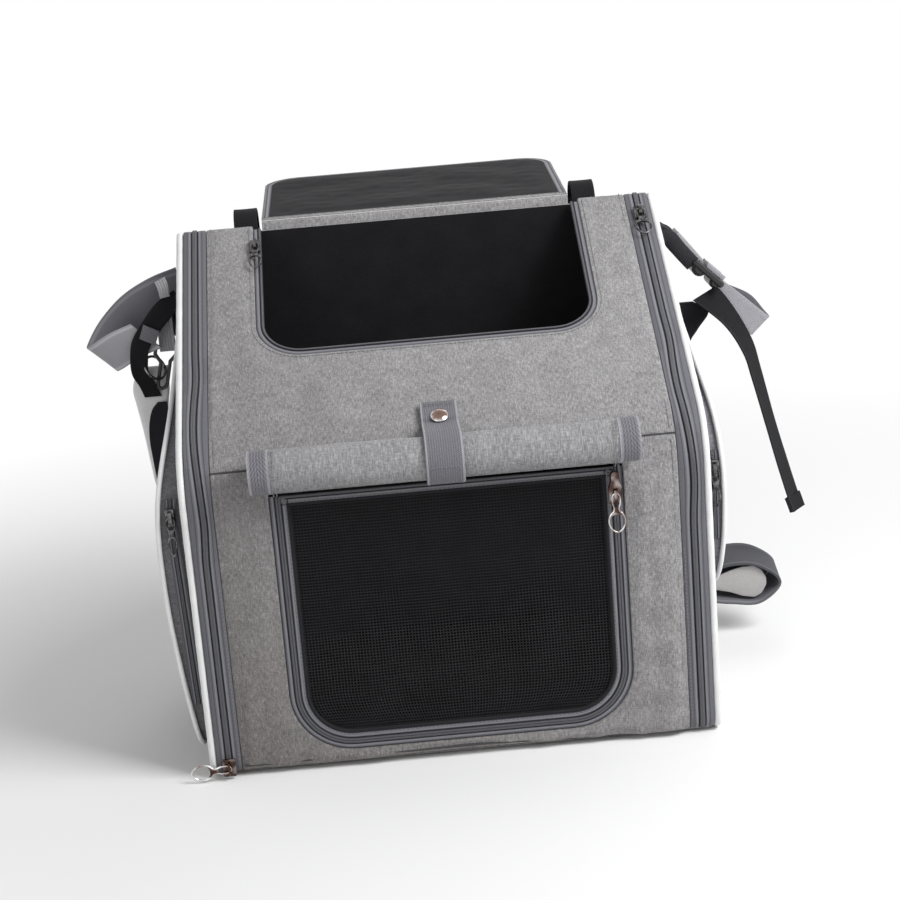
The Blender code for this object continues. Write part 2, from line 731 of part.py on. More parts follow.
def make_top_door(fabric, lining, tape):
    """Door of the head opening, made where it closes and turned back to where it rests."""
    y = BACK + TOP_DOOR_SET_BACK
    sink = TOP_DOOR_THICKNESS / 2 + CLEARANCE
    z = TOP_HEIGHT + TOP_DOOR_SET_BACK * sin(SLOPE_ANGLE) / cos(SLOPE_ANGLE) - sink / cos(SLOPE_ANGLE)
    hinge = Vector((0, y, z))
    turn = pivot("top_door_axis", hinge)
    far = SLOPE_LENGTH + TOP_DOOR_SET_BACK / cos(SLOPE_ANGLE) - sink * sin(SLOPE_ANGLE) / cos(SLOPE_ANGLE)
    margin = TAPE_WIDTH + CLEARANCE * 3
    half = HEAD_WIDTH / 2 - margin
    front = HEAD_FRONT + margin
    corner = HEAD_CORNER - margin

    def leaf(name, inset, near, low, high, material):
        side = half - inset
        line = Outline([(side, near), (side, front + inset), (-side, front + inset), (-side, near)],
                       [LEAST_RADIUS, corner, corner, LEAST_RADIUS],
                       [1, CORNER_STEPS, CORNER_STEPS, 1]).line(0)
        rows = [[on_slope(p.x, p.y, depth) for p in line] for depth in (low, high)]
        return loft(name, rows, material)

    top = CLEARANCE
    cloth_under = top + TOP_DOOR_THICKNESS - TOP_DOOR_LINING - CLEARANCE
    cloth = leaf("top_door_panel", TAPE_WIDTH + CLEARANCE, far - TOP_DOOR_REACH, top, cloth_under, fabric)
    inner = leaf("top_door_lining", 0, far - TOP_DOOR_REACH,
                 cloth_under + CLEARANCE, top + TOP_DOOR_THICKNESS, lining)
    near = far - TOP_DOOR_REACH
    rim = Outline([(half, near), (half, front), (-half, front), (-half, near)],
                  [LEAST_RADIUS, corner, corner, LEAST_RADIUS],
                  [1, CORNER_STEPS, CORNER_STEPS, 1])
    section = zip_section(TAPE_WIDTH, top + COIL_RISE, cloth_under, HALF_COIL, -1)
    zip_half = sweep("top_door_zip", rim, section, on_slope, tape, rim.mark(0, 1.0), rim.mark(3, 0.0))
    bead = TOP_DOOR_BEAD
    leave = asin(TOP_DOOR_TAPE / bead)
    turns = [leave + (2 * pi - 2 * leave) * k / TUBE_SIDES for k in range(TUBE_SIDES + 1)]
    section = [(-bead * cos(turn), bead * sin(turn)) for turn in turns]
    reach = TOP_DOOR_REACH - CLEARANCE
    section += [(-reach, -TOP_DOOR_TAPE), (-reach, TOP_DOOR_TAPE)]
    rows = [[on_slope(x, far + v, sink + depth) for v, depth in section] for x in (-half, half)]
    tab = loft("top_door_hinge", rows, fabric)
    make_hinge_strip(hinge, half, fabric)
    carry(turn, cloth, inner, zip_half, tab)
    opened = pi + SLOPE_ANGLE - TOP_DOOR_REST
    for item in (cloth, inner, zip_half, tab):
        item.data.transform(Matrix.Rotation(-opened, 4, "X"))
    return turn


def roll_centre():
    """Middle of the rolled curtain, resting on the bend's round front."""
    bend_centre = PROFILE_CENTRE
    reach = BEND_RADIUS + ROLL_RADIUS + CLEARANCE
    z = BEND_HEIGHT - ROLL_CENTRE_DROP
    y = bend_centre.x - sqrt(reach ** 2 - (z - bend_centre.y) ** 2)
    return Vector((y, z)), bend_centre


def bend_arc_centre():
    arc_start = PROFILE.points[PROFILE.steps[FRONT_FOOT] + 1]
    return Vector((arc_start.x + BEND_RADIUS, arc_start.y))


PROFILE_CENTRE = bend_arc_centre()


def make_curtain(fabric, webbing):
    """The curtain rolled up on the bend, with a bound edge at each end of the roll."""
    centre, bend_centre = roll_centre()
    half = ROLL_LENGTH / 2 - BINDING_LENGTH

    def spiral(outer):
        last = outer - ROLL_CLOTH / 2
        end_angle = atan2(bend_centre.y - centre.y, bend_centre.x - centre.x) + radians(52)
        count = int(ROLL_TURNS * TURN_STEPS)
        found = []
        for k in range(count + 1):
            share = k / count
            radius = ROLL_CORE + (last - ROLL_CORE) * share
            turn = end_angle + 2 * pi * ROLL_TURNS * (1 - share)
            found.append(Vector((centre.x + radius * cos(turn), centre.y + radius * sin(turn))))
        return found

    least = (ROLL_RADIUS - ROLL_CLOTH / 2 - ROLL_CORE) / ROLL_TURNS - ROLL_CLOTH
    print("curtain roll: least gap between turns", round(least * 1000, 2), "mm")
    path = spiral(ROLL_RADIUS)
    band("curtain_roll", path, ROLL_CLOTH, -half, half, on_side, fabric)
    near = half + CLEARANCE
    far = half + BINDING_LENGTH
    band("left_roll_binding", path, ROLL_CLOTH, -far, -near, on_side, webbing)
    band("right_roll_binding", path, ROLL_CLOTH, near, far, on_side, webbing)


def make_roll_strap(webbing, chrome):
    """Strap round the roll; its upper end is a tab that snaps to the hood."""
    centre, bend_centre = roll_centre()
    radius = ROLL_RADIUS + CLEARANCE + STRAP_THICKNESS / 2
    toward = atan2(bend_centre.y - centre.y, bend_centre.x - centre.x)
    wedge = radians(28)
    around = arc(centre, radius, toward - wedge, -3 * pi / 2, TURN_STEPS)
    half = STRAP_WIDTH / 2
    band("roll_strap", around, STRAP_THICKNESS, -half, half, on_side, webbing)

    stack = SNAP_STUD_BASE + SNAP_FLANGE + CLEARANCE * 4
    lift = stack + STRAP_THICKNESS / 2
    start = Vector((centre.x + CLEARANCE, centre.y + radius))

    def above(t, height):
        point = on_slope(0, t, -height)
        return Vector((point.y, point.z))

    near_snap = SNAP_PLACE - SNAP_CAP_DIAMETER / 2
    tab_path = [start, above(near_snap, lift), above(SNAP_PLACE, lift), above(STRAP_END, lift)]
    tab = band("snap_tab", tab_path, STRAP_THICKNESS, -half, half, on_side, webbing)

    normal = on_slope(0, 0, -1) - on_slope(0, 0, 0)
    foot = on_slope(0, SNAP_PLACE, 0)
    hole = SNAP_POST_DIAMETER / 2 + CLEARANCE
    drill = turned("snap_hole_cutter", [(0, lift - CUT_OVERRUN / 2), (hole, lift - CUT_OVERRUN / 2),
                                        (hole, lift + CUT_OVERRUN / 2), (0, lift + CUT_OVERRUN / 2)],
                   foot, normal, TURN_STEPS // 2, webbing)
    boolean(tab, drill, "DIFFERENCE")
    stud_radius = SNAP_BASE_DIAMETER / 2
    nub = SNAP_POST_DIAMETER / 2
    base_top = SNAP_STUD_BASE + CLEARANCE
    turned("snap_stud", [(0, CLEARANCE), (stud_radius, CLEARANCE), (stud_radius, base_top),
                         (nub / 2, base_top), (nub / 2, base_top + SNAP_FLANGE / 2),
                         (0, base_top + SNAP_FLANGE / 2)],
           foot, normal, TURN_STEPS // 2, chrome)
    under = lift - STRAP_THICKNESS / 2 - CLEARANCE
    over = lift + STRAP_THICKNESS / 2 + CLEARANCE
    cap_radius = SNAP_CAP_DIAMETER / 2
    recess = nub / 2 + CLEARANCE * 2
    floor_height = under - SNAP_FLANGE
    cap = turned("snap_cap", [(0, floor_height + SNAP_FLANGE / 2 + CLEARANCE * 2),
                              (recess, floor_height + SNAP_FLANGE / 2 + CLEARANCE * 2),
                              (recess, floor_height), (stud_radius, floor_height), (stud_radius, under),
                              (nub, under), (nub, over), (cap_radius, over),
                              (cap_radius, over + SNAP_CAP_RISE * 0.35),
                              (cap_radius * 0.75, over + SNAP_CAP_RISE * 0.8), (0, over + SNAP_CAP_RISE)],
                 foot, normal, TURN_STEPS // 2, chrome)
    turn = pivot("snap_tab_axis", Vector((0, centre.x, centre.y + radius + STRAP_THICKNESS / 2)))
    carry(turn, tab, cap, drill)
    return turn


def make_inside(board, plush):
    """The rigid board that stiffens the floor, and the cushion on it."""
    side = SIDE_FACE - WALL - INNER_MARGIN
    front = FRONT + WALL + INNER_MARGIN
    back = BACK - WALL - INNER_MARGIN
    low = WALL + CLEARANCE
    centre = Vector((0, 0, low + BASE_BOARD_THICKNESS / 2))
    box("base_board", centre, (2 * side, BODY_DEPTH - 2 * BOTTOM_RADIUS, BASE_BOARD_THICKNESS),
        BASE_BOARD_THICKNESS / 4, board)
    make_cushion(side, front, back, low + BASE_BOARD_THICKNESS + CLEARANCE, plush)


def make_cushion(side, front, back, floor_height, plush):
    """Floor cushion: crowned on top, flat below, its sides drawn in between corners."""
    columns = 14
    rows = 10
    middle = (front + back) / 2
    deep = (back - front) / 2

    def place(u, v, top):
        drawn_x = side - CUSHION_DRAW_IN * (1 - v ** 4)
        drawn_y = deep - CUSHION_DRAW_IN * (1 - u ** 4)
        edge = min((1 - abs(u)) * side, (1 - abs(v)) * deep)
        round_share = sqrt(max(1 - (1 - min(edge / CUSHION_EDGE, 1)) ** 2, 0))
        crown = CUSHION_CROWN * (1 - u ** 2) * (1 - v ** 2)
        height = (CUSHION_HEIGHT * (0.45 + 0.55 * round_share) + crown) if top else 0
        return Vector((u * drawn_x, middle + v * drawn_y, floor_height + height))

    def spread(count):
        return [sin((2 * k / count - 1) * pi / 2) for k in range(count + 1)]

    grid_u = spread(columns)
    grid_v = spread(rows)
    width = columns + 1
    vertices = [place(u, v, True) for v in grid_v for u in grid_u]
    shift = len(vertices)
    rim = [(i, 0) for i in range(columns)] + [(columns, j) for j in range(rows)]
    rim += [(i, rows) for i in range(columns, 0, -1)] + [(0, j) for j in range(rows, 0, -1)]
    vertices += [place(grid_u[i], grid_v[j], False) for i, j in rim]
    faces = []
    for j in range(rows):
        for i in range(columns):
            a = j * width + i
            faces.append((a, a + 1, a + 1 + width, a + width))
    for k, (i, j) in enumerate(rim):
        m = (k + 1) % len(rim)
        ni, nj = rim[m]
        faces.append((j * width + i, nj * width + ni, shift + m, shift + k))
    faces.append(tuple(range(shift, shift + len(rim))))
    finish_mesh("floor_cushion", vertices, faces, plush)


def slope_height(y):
    return BEND_HEIGHT + (y - FRONT) * sin(SLOPE_ANGLE) / cos(SLOPE_ANGLE)


def make_pocket(side_name, sign, bulge, foot, shares, zip_foot, fabric, cord, tape):
    """A side pocket: an open dish against the side panel, its piping and its zip."""
    front = FRONT + POCKET_MARGIN
    back = BACK - POCKET_REAR_MARGIN
    lower = POCKET_MARGIN / cos(SLOPE_ANGLE)
    bend = BEND_HEIGHT + POCKET_MARGIN * sin(SLOPE_ANGLE) / cos(SLOPE_ANGLE) - lower
    top = slope_height(back) - lower
    line = Outline([(front, foot), (front, bend), (back, top), (back, foot)],
                   [POCKET_CORNER, BEND_RADIUS, POCKET_CORNER / 2, POCKET_CORNER],
                   [3, 6, 3, 3])
    base = SIDE_FACE + CLEARANCE
    knots = [Vector((share, 0)) for share in shares]
    fullness = smooth_path(knots, BULGE_STEPS)

    def rise(v):
        t = min(max((v - foot) / (top - foot), 0), 1) * (len(fullness) - 1)
        low = min(int(t), len(fullness) - 2)
        return bulge * fullness[low].lerp(fullness[low + 1], t - low).x

    def ring(inset, level, drop, shrink=1.0):
        points = line.line(inset)
        centre = sum(points, Vector((0, 0))) / len(points)
        found = []
        for point in points:
            p = centre + (point - centre) * shrink
            found.append(on_side(p.x, p.y, sign * (base + level(p.y) - drop)))
        return found

    def flat(v):
        return 0

    outer = [ring(0, flat, 0), ring(0, rise, 0)]
    outer += [ring(0, rise, -POCKET_CROWN * full, shrink) for shrink, full in POCKET_RING_SHARES]
    inner = [ring(POCKET_WALL, rise, POCKET_WALL - POCKET_CROWN * full, shrink)
             for shrink, full in reversed(POCKET_RING_SHARES)]
    inner += [ring(POCKET_WALL, rise, POCKET_WALL), ring(POCKET_WALL, flat, 0)]
    width = len(outer[0])
    rings = outer + inner
    vertices = [point for row in rings for point in row]
    faces = []
    for i in range(len(rings)):
        if i == len(outer) - 1:
            continue
        here = i * width
        there = ((i + 1) % len(rings)) * width
        for j in range(width):
            k = (j + 1) % width
            faces.append((here + j, here + k, there + k, there + j))
    for row, shift in ((outer[-1], (len(outer) - 1) * width), (inner[0], len(outer) * width)):
        hub = len(vertices)
        vertices.append(sum(row, Vector()) / width)
        faces += [(shift + j, shift + (j + 1) % width, hub) for j in range(width)]
    finish_mesh(side_name + "_pocket", vertices, faces, fabric)

    radius = POCKET_PIPING / 2

    def on_rim(u, v, depth):
        return on_side(u, v, sign * (base + rise(v) + depth))

    section = round_section(-radius / 2, -radius - CLEARANCE, radius, WIRE_SIDES)
    sweep(side_name + "_pocket_piping", line, section, on_rim, cord)

    def on_gusset(u, v, depth):
        return on_side(u, v, sign * (base + (rise(v) - radius) * POCKET_ZIP_PLACE_SHARE + depth))

    start = line.mark(0, 1.0) + zip_foot - foot - POCKET_CORNER
    end = line.mark(0, 1.0) + POCKET_ZIP_HEAD - foot - POCKET_CORNER
    half = POCKET_ZIP_WIDTH / 2
    coil = HALF_COIL / 2
    under = -CLEARANCE
    over = under - POCKET_ZIP_THICKNESS
    section = [(-half, under), (-half, over), (-coil, over), (-coil, over - COIL_RISE),
               (coil, over - COIL_RISE), (coil, over), (half, over), (half, under)]
    sweep(side_name + "_pocket_zip", line, section, on_gusset, tape, start, end)
    place_height = POCKET_ZIP_HEAD - SLIDER_LENGTH
    middle = base + (rise(place_height) - radius) * POCKET_ZIP_PLACE_SHARE
    seat = Vector((sign * middle, front + over - COIL_RISE - CLEARANCE, place_height))
    return seat


def make_slider(name, seat, pulls_to, outward, chrome, size_share=1.0, lies_to=None):
    """A zip slider seated on a coil, and the wire pull held by its bridge."""
    down = Vector(pulls_to).normalized()
    out = Vector(outward).normalized()
    across = down.cross(out)
    body = box(name + "_slider", seat + out * (SLIDER_BODY / 2),
               (SLIDER_WIDTH * (1 + size_share) / 2, SLIDER_LENGTH, SLIDER_BODY), SLIDER_BEVEL, chrome,
               axes=(across, -down, out))
    top = seat + out * SLIDER_BODY
    rise = PULL_LIFT * 2 + PULL_WIRE + BRIDGE_BAR / 2
    half = BRIDGE_SPAN / 2
    corner = rise / 2
    upper = arc(Vector((-half + corner, rise - corner)), corner, pi, pi / 2, 3)
    lower = arc(Vector((half - corner, rise - corner)), corner, pi / 2, 0, 3)
    path = [Vector((-half, -BRIDGE_SINK)), *upper, *lower, Vector((half, -BRIDGE_SINK))]

    def on_slider(u, v, depth):
        return top + down * u + out * v + across * depth

    bridge_half = (SIDEWAYS_BRIDGE_WIDTH if lies_to else BRIDGE_WIDTH) / 2
    bridge = band(name + "_bridge_guide", path, BRIDGE_BAR, -bridge_half, bridge_half, on_slider, chrome)
    boolean(body, bridge, "UNION")
    lying = Vector(lies_to).normalized() if lies_to else down
    beside = lying.cross(out)

    def on_pull(u, v, depth):
        return top + lying * u + out * v + beside * depth

    grip = BRIDGE_WIDTH / 2 + PULL_WIRE / 2 + CLEARANCE * 2
    if lies_to:
        grip = half - corner - PULL_WIRE / 2 - CLEARANCE
    neck = PULL_NECK / 2
    full = PULL_WIDTH * size_share / 2 - PULL_WIRE / 2
    start = -PULL_REACH
    side = [(start, grip), (start + PULL_LENGTH * PULL_GRIP_SHARE, grip)]
    side += [(start + PULL_LENGTH * along, max(full * wide, neck)) for along, wide in PULL_SHARES]
    height = PULL_LIFT + PULL_WIRE / 2
    points = [on_pull(u, height, v) for u, v in side]
    points += [on_pull(u, height, -v) for u, v in reversed(side)]
    wire = wire_loop(name + "_pull", points, PULL_WIRE, WIRE_SIDES, chrome)
    slide = pivot(name + "_slider_axis", seat)
    # A pull that lies along its slider turns on its own end, one that lies across turns on the bridge.
    swing = pivot(name + "_pull_axis", top + out * rise if lies_to else on_pull(start, height, 0))
    carry(slide, body, bridge)
    carry(swing, wire)
    return slide, swing


def make_sliders(chrome, pocket_seats):
    face = TAPE_RECESS - CLEARANCE
    parting = WINDOW_WIDTH / 2 + TAPE_WIDTH + BINDING_WIDTH
    window_top = WINDOW_HEAD - WINDOW_SLIDER_DROP
    window_seat = on_front(parting, window_top - SLIDER_LENGTH / 2, face)
    make_slider("window", window_seat, (0, 0, -1), (0, -1, 0), chrome)
    edge_x = (PANEL_HALF + SIDE_FACE) / 2
    edge_seat = on_front(-edge_x, EDGE_SLIDER_HEIGHT, -COIL_RISE - CLEARANCE)
    make_slider("left_edge", edge_seat, (0, 0, -1), (0, -1, 0), chrome, lies_to=EDGE_PULL_DIRECTION)
    slope_down = on_slope(0, 0, 0) - on_slope(0, 1, 0)
    slope_out = on_slope(0, 0, -1) - on_slope(0, 0, 0)
    rear_seat = on_slope(edge_x, SLOPE_LENGTH - REAR_SLIDER_SET_IN, -COIL_RISE - CLEARANCE)
    make_slider("right_edge", rear_seat, slope_down, slope_out, chrome)
    head_x = HEAD_WIDTH / 2 - TAPE_WIDTH + SLIDER_WIDTH / 2
    head_seat = on_slope(-head_x, SLOPE_LENGTH - HEAD_SLIDER_SET_IN, -CLEARANCE)
    make_slider("head", head_seat, slope_down, slope_out, chrome, HEAD_PULL_SHARE)
    for name, seat in pocket_seats:
        make_slider(name, seat, (0, 0, -1), (0, -1, 0), chrome, POCKET_PULL_SHARE)


def make_bar_straps(webbing):
    """Straps that loop round the handlebar, sewn flat down the back panel."""
    radius = BAR_DIAMETER / 2 + BAR_STRAP_THICKNESS / 2
    lane = BACK + CLEARANCE + BAR_STRAP_THICKNESS / 2
    height = TOP_HEIGHT - BAR_DROP
    centre = Vector((lane + radius, height))
    path = [Vector((lane, height - BAR_STRAP_TAIL)), Vector((lane, height - BAR_STRAP_TAIL / 2))]
    path += arc(centre, radius, pi, -radians(142), TURN_STEPS)
    half = BAR_STRAP_WIDTH / 2
    for name, sign in (("left_bar_strap", -1), ("right_bar_strap", 1)):
        place = sign * (SIDE_FACE - BAR_STRAP_SET_IN)
        band(name, path, BAR_STRAP_THICKNESS, place - half, place + half, on_side, webbing)


def ribbon(name, stations, thickness, material):
    """A strap through (middle, width vector) stations, free to turn about its own length."""
    rows = []
    for i, (middle, width) in enumerate(stations):
        before = stations[max(i - 1, 0)][0]
        after = stations[min(i + 1, len(stations) - 1)][0]
        normal = (after - before).cross(width).normalized() * (thickness / 2)
        half = width / 2
        rows.append([middle - half - normal, middle + half - normal,
                     middle + half + normal, middle - half + normal])
    return loft(name, rows, material)


def smooth_stations(stations, per):
    """More stations along a smooth curve through those given."""
    middles = smooth_path([middle for middle, width in stations], per)
    widths = smooth_path([width for middle, width in stations], per)
    return list(zip(middles, widths))


def strap_run(start, reach, shares, across):
    """Stations of a loop: shares of its reach from where it starts, with its width across."""
    return [(start + Vector(share) * reach + across / 2, across) for share in shares]


def make_left_strap(webbing, pad_cloth, chrome, plastic):
    """Left shoulder strap: its anchor, folded loop, pad, ring, hook tab and hook."""
    rear = BACK
    side = -SIDE_FACE
    level = slope_height(rear - LEFT_ANCHOR_SET_IN - LEFT_ANCHOR[1])
    anchor = Vector((side - CLEARANCE - LEFT_ANCHOR[0] / 2, rear - LEFT_ANCHOR_SET_IN - LEFT_ANCHOR[1] / 2,
                     level - LEFT_ANCHOR_DROP))
    box("left_anchor", anchor, LEFT_ANCHOR, BUCKLE_BEVEL, webbing)
    across = Vector(LEFT_LOOP_ACROSS_SHARES) * STRAP_LOOP_WIDTH
    reach, set_in, drop = LEFT_LOOP_START
    start = Vector((side - reach, rear - set_in, level - drop))
    stations = strap_run(start, LEFT_LOOP_REACH, LEFT_LOOP_SHARES, across)
    ribbon("left_strap_loop", smooth_stations(stations, 2), WEBBING_THICKNESS, webbing)
    stations = []
    for out_share, down_share, wide_share in LEFT_PAD_SHARES:
        full = LEFT_PAD_WIDTH * wide_share
        outer = side - LEFT_PAD_REACH - LEFT_PAD_WIDTH * out_share
        height = level - LEFT_PAD_DROP - LEFT_PAD_LENGTH * down_share
        stations.append((Vector((outer + full / 2, rear - PAD_SET_IN, height)), Vector((full, 0, 0))))
    ribbon("left_pad", stations, PAD_THICKNESS, pad_cloth)

    plane = rear - HOOK_SET_IN
    fold = Vector((plane, level - HOOK_TAB_DROP))
    half = HOOK_TAB_GAP / 2 + HOOK_TAB_THICKNESS / 2
    fold_centre = fold + Vector((0, half + HOOK_TAB_THICKNESS / 2))
    path = [Vector((plane - half, fold.y + HOOK_TAB_LENGTH))]
    path += arc(fold_centre, half, pi, 2 * pi, 6)
    path += [Vector((plane + half, fold.y + HOOK_TAB_LENGTH))]
    x = side - HOOK_TAB_REACH
    band("hook_tab", path, HOOK_TAB_THICKNESS, x - HOOK_TAB_WIDTH, x, on_side, webbing)

    top = fold_centre.y + HOOK_TAB_GAP / 2 - HOOK_BAR / 2
    middle = x - HOOK_TAB_WIDTH / 2
    eye = HOOK_TAB_WIDTH / 2 + HOOK_BAR
    slim = HOOK_SLOT / 2 + HOOK_BAR / 2
    right_side = [(eye * wide, down) for wide, down in HOOK_EYE_SHARES]
    right_side += [(slim * wide, down) for wide, down in HOOK_SLIM_SHARES]
    outline = [(-u, v) for u, v in right_side] + [(0, 1)] + right_side[::-1]
    points = [Vector((middle + u - HOOK_LEAN * v, plane, top - v * HOOK_LENGTH)) for u, v in outline]
    wire_loop("snap_hook", points, HOOK_BAR, WIRE_SIDES, plastic)

    first = Vector(RING_FIRST_AXIS).normalized()
    second = Vector(RING_SECOND_AXIS)
    second = (second - first * second.dot(first)).normalized()
    crossing = Vector((middle - HOOK_LEAN * RING_SHARE, plane, top - HOOK_LENGTH * RING_SHARE))
    centre = crossing + first * RING_RADIUS
    turns = [2 * pi * k / TURN_STEPS for k in range(TURN_STEPS)]
    points = [centre + (first * cos(turn) + second * sin(turn)) * RING_RADIUS for turn in turns]
    wire_loop("strap_ring", points, RING_WIRE, WIRE_SIDES, chrome)


def make_right_strap(webbing, pad_cloth, plastic):
    """Right shoulder strap: anchor, buckle, hanging tail, folded loop, pad and lower loop."""

    def at(reach, set_in, height):
        return Vector((SIDE_FACE + reach, BACK - set_in, height))

    level = slope_height(BACK - BUCKLE_SET_IN - WEBBING_WIDTH / 2)
    across = Vector((0, WEBBING_WIDTH, 0))
    lying = CLEARANCE + WEBBING_THICKNESS / 2
    foot = level - RIGHT_ANCHOR_DROP
    sewn = foot + RIGHT_ANCHOR_REACH * RIGHT_ANCHOR_SEWN_SHARE
    stations = [(at(lying, BUCKLE_SET_IN, foot), across), (at(lying, BUCKLE_SET_IN, sewn), across)]
    for out_share, up_share in RIGHT_ANCHOR_SHARES:
        place = at(RIGHT_ANCHOR_REACH * out_share, BUCKLE_SET_IN, foot + RIGHT_ANCHOR_REACH * up_share)
        stations.append((place, across))
    ribbon("right_anchor", smooth_stations(stations, 2), WEBBING_THICKNESS, webbing)

    along = Vector((cos(BUCKLE_TILT), 0, -sin(BUCKLE_TILT)))
    centre = at(BUCKLE_REACH, BUCKLE_SET_IN, level - BUCKLE_DROP)
    frame = (along, Vector((0, 1, 0)), along.cross(Vector((0, 1, 0))))
    body = box("right_buckle", centre, (BUCKLE_LENGTH, BUCKLE_WIDTH, BUCKLE_THICKNESS), BUCKLE_BEVEL,
               plastic, axes=frame)
    slot = (BUCKLE_LENGTH - 3 * BUCKLE_BAR) / 2
    for name, sign in (("buckle_upper_cutter", -1), ("buckle_lower_cutter", 1)):
        middle = centre + along * sign * (slot + BUCKLE_BAR) / 2
        tool = box(name, middle, (slot, BUCKLE_WIDTH - 2 * BUCKLE_RIM, BUCKLE_THICKNESS * 2),
                   BUCKLE_BEVEL / 4, plastic, axes=frame)
        boolean(body, tool, "DIFFERENCE")

    stations = []
    shares = zip(TAIL_REACH_SHARES, TAIL_FALL_SHARES, TAIL_SEEN_SHARES, TAIL_LIFT_DEGREES)
    for out_share, down_share, seen_share, lift in shares:
        place = at(TAIL_START[0] + TAIL_REACH * out_share, TAIL_SET_IN,
                   level - TAIL_START[1] - TAIL_FALL * down_share)
        turn = Vector((seen_share * cos(radians(lift)), sqrt(1 - seen_share ** 2),
                       seen_share * sin(radians(lift))))
        stations.append((place, turn * WEBBING_WIDTH))
    ribbon("right_strap_tail", smooth_stations(stations, 2), WEBBING_THICKNESS, webbing)

    across = Vector(RIGHT_LOOP_ACROSS_SHARES) * RIGHT_LOOP_WIDTH
    reach, set_in, drop = RIGHT_LOOP_START
    stations = strap_run(at(reach, set_in, level - drop), RIGHT_LOOP_REACH, RIGHT_LOOP_SHARES, across)
    ribbon("right_strap_loop", smooth_stations(stations, 2), WEBBING_THICKNESS, webbing)

    stations = []
    for down_share, wide_share in RIGHT_PAD_SHARES:
        full = RIGHT_PAD_WIDTH * wide_share
        height = level - RIGHT_PAD_DROP - RIGHT_PAD_LENGTH * down_share
        stations.append((at(CLEARANCE + full / 2, PAD_SET_IN, height), Vector((full, 0, 0))))
    ribbon("right_pad", stations, PAD_THICKNESS, pad_cloth)

    across = Vector(LOWER_LOOP_ACROSS_SHARES) * STRAP_LOOP_WIDTH
    seat = at(CLEARANCE * 1.5, LOWER_LOOP_SET_IN, LOWER_LOOP_HEIGHT)
    shares = [(out, 0, up) for out, up in LOWER_LOOP_SHARES]
    stations = strap_run(seat, LOWER_LOOP_REACH, shares, across)
    ribbon("lower_strap_loop", smooth_stations(stations, 3), WEBBING_THICKNESS, webbing)


def main():
    clear_scene()
    fabric = make_material("heather_fabric", (0.42, 0.41, 0.40), 0.9)
    tape = make_material("zip_tape", (0.20, 0.21, 0.25), 0.7)
    cord = make_material("white_piping", (0.85, 0.85, 0.84), 0.5)
    net = make_material("black_net", (0.015, 0.015, 0.016), 0.7)
    lining = make_material("black_lining", (0.02, 0.02, 0.022), 0.85)
    webbing = make_material("grey_webbing", (0.34, 0.33, 0.36), 0.75)
    dark = make_material("dark_webbing", (0.12, 0.12, 0.13), 0.75)
    pad_cloth = make_material("pad_fabric", (0.45, 0.45, 0.46), 0.8)
    board = make_material("board", (0.06, 0.06, 0.06), 0.6)
    plush = make_material("cushion_plush", (0.05, 0.05, 0.052), 0.95)
    chrome = make_material("chrome", (0.8, 0.8, 0.8), 0.15, 1.0)
    plastic = make_material("black_plastic", (0.02, 0.02, 0.02), 0.4)
    make_shell(fabric)
    make_edge_zips(tape)
    make_piping(cord)
    make_window(tape, net)
    make_head_zip(tape)
    make_top_door(fabric, lining, tape)
    make_curtain(fabric, webbing)
    make_roll_strap(webbing, chrome)
    make_inside(board, plush)
    left_seat = make_pocket("left", -1, LEFT_POCKET_BULGE, LEFT_POCKET_FOOT, LEFT_BULGE_SHARES,
                            LEFT_POCKET_ZIP_FOOT, fabric, cord, tape)
    right_seat = make_pocket("right", 1, RIGHT_POCKET_BULGE, RIGHT_POCKET_FOOT, RIGHT_BULGE_SHARES,
                             RIGHT_POCKET_ZIP_FOOT, fabric, cord, tape)
    make_sliders(chrome, [("left_pocket", left_seat), ("right_pocket", right_seat)])
    make_bar_straps(dark)
    make_left_strap(dark, pad_cloth, chrome, plastic)
    make_right_strap(dark, pad_cloth, plastic)


main()
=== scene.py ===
# Soft-sided dog carrier for a bicycle's handlebar: the look of every piece.
# X is the viewer's right, Y runs to the back, Z is up, in metres.
import math
import bpy
import bmesh
import numpy as np
from mathutils import Matrix, Vector


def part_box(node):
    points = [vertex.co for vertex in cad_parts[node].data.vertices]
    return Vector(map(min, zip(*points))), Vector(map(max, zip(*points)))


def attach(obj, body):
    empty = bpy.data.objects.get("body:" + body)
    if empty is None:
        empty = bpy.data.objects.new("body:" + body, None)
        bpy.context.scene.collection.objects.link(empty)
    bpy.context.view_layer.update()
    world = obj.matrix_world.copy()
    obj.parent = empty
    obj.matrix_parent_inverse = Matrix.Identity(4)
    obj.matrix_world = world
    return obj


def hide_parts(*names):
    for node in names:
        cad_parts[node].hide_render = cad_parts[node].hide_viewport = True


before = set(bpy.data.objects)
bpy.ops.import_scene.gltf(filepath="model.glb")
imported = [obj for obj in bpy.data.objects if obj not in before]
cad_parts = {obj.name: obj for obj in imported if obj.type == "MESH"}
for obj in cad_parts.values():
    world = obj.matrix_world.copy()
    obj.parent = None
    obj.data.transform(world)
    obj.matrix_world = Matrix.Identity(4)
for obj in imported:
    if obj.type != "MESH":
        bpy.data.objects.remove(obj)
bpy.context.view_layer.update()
scene = bpy.context.scene
scene.view_settings.view_transform = "Standard"
sides = (("left", -1), ("right", 1))
print("frame loaded")

# The camera: it looks at the target from a distance, turned about its own axis by roll
cameraView = {"target": (0.0, -0.01, 0.18), "distance": 1.5, "azimuth": -1.6, "elevation": 16.3,
              "roll": -4.7, "lens": 81.8, "shift": (0.0100, 0.0267)}


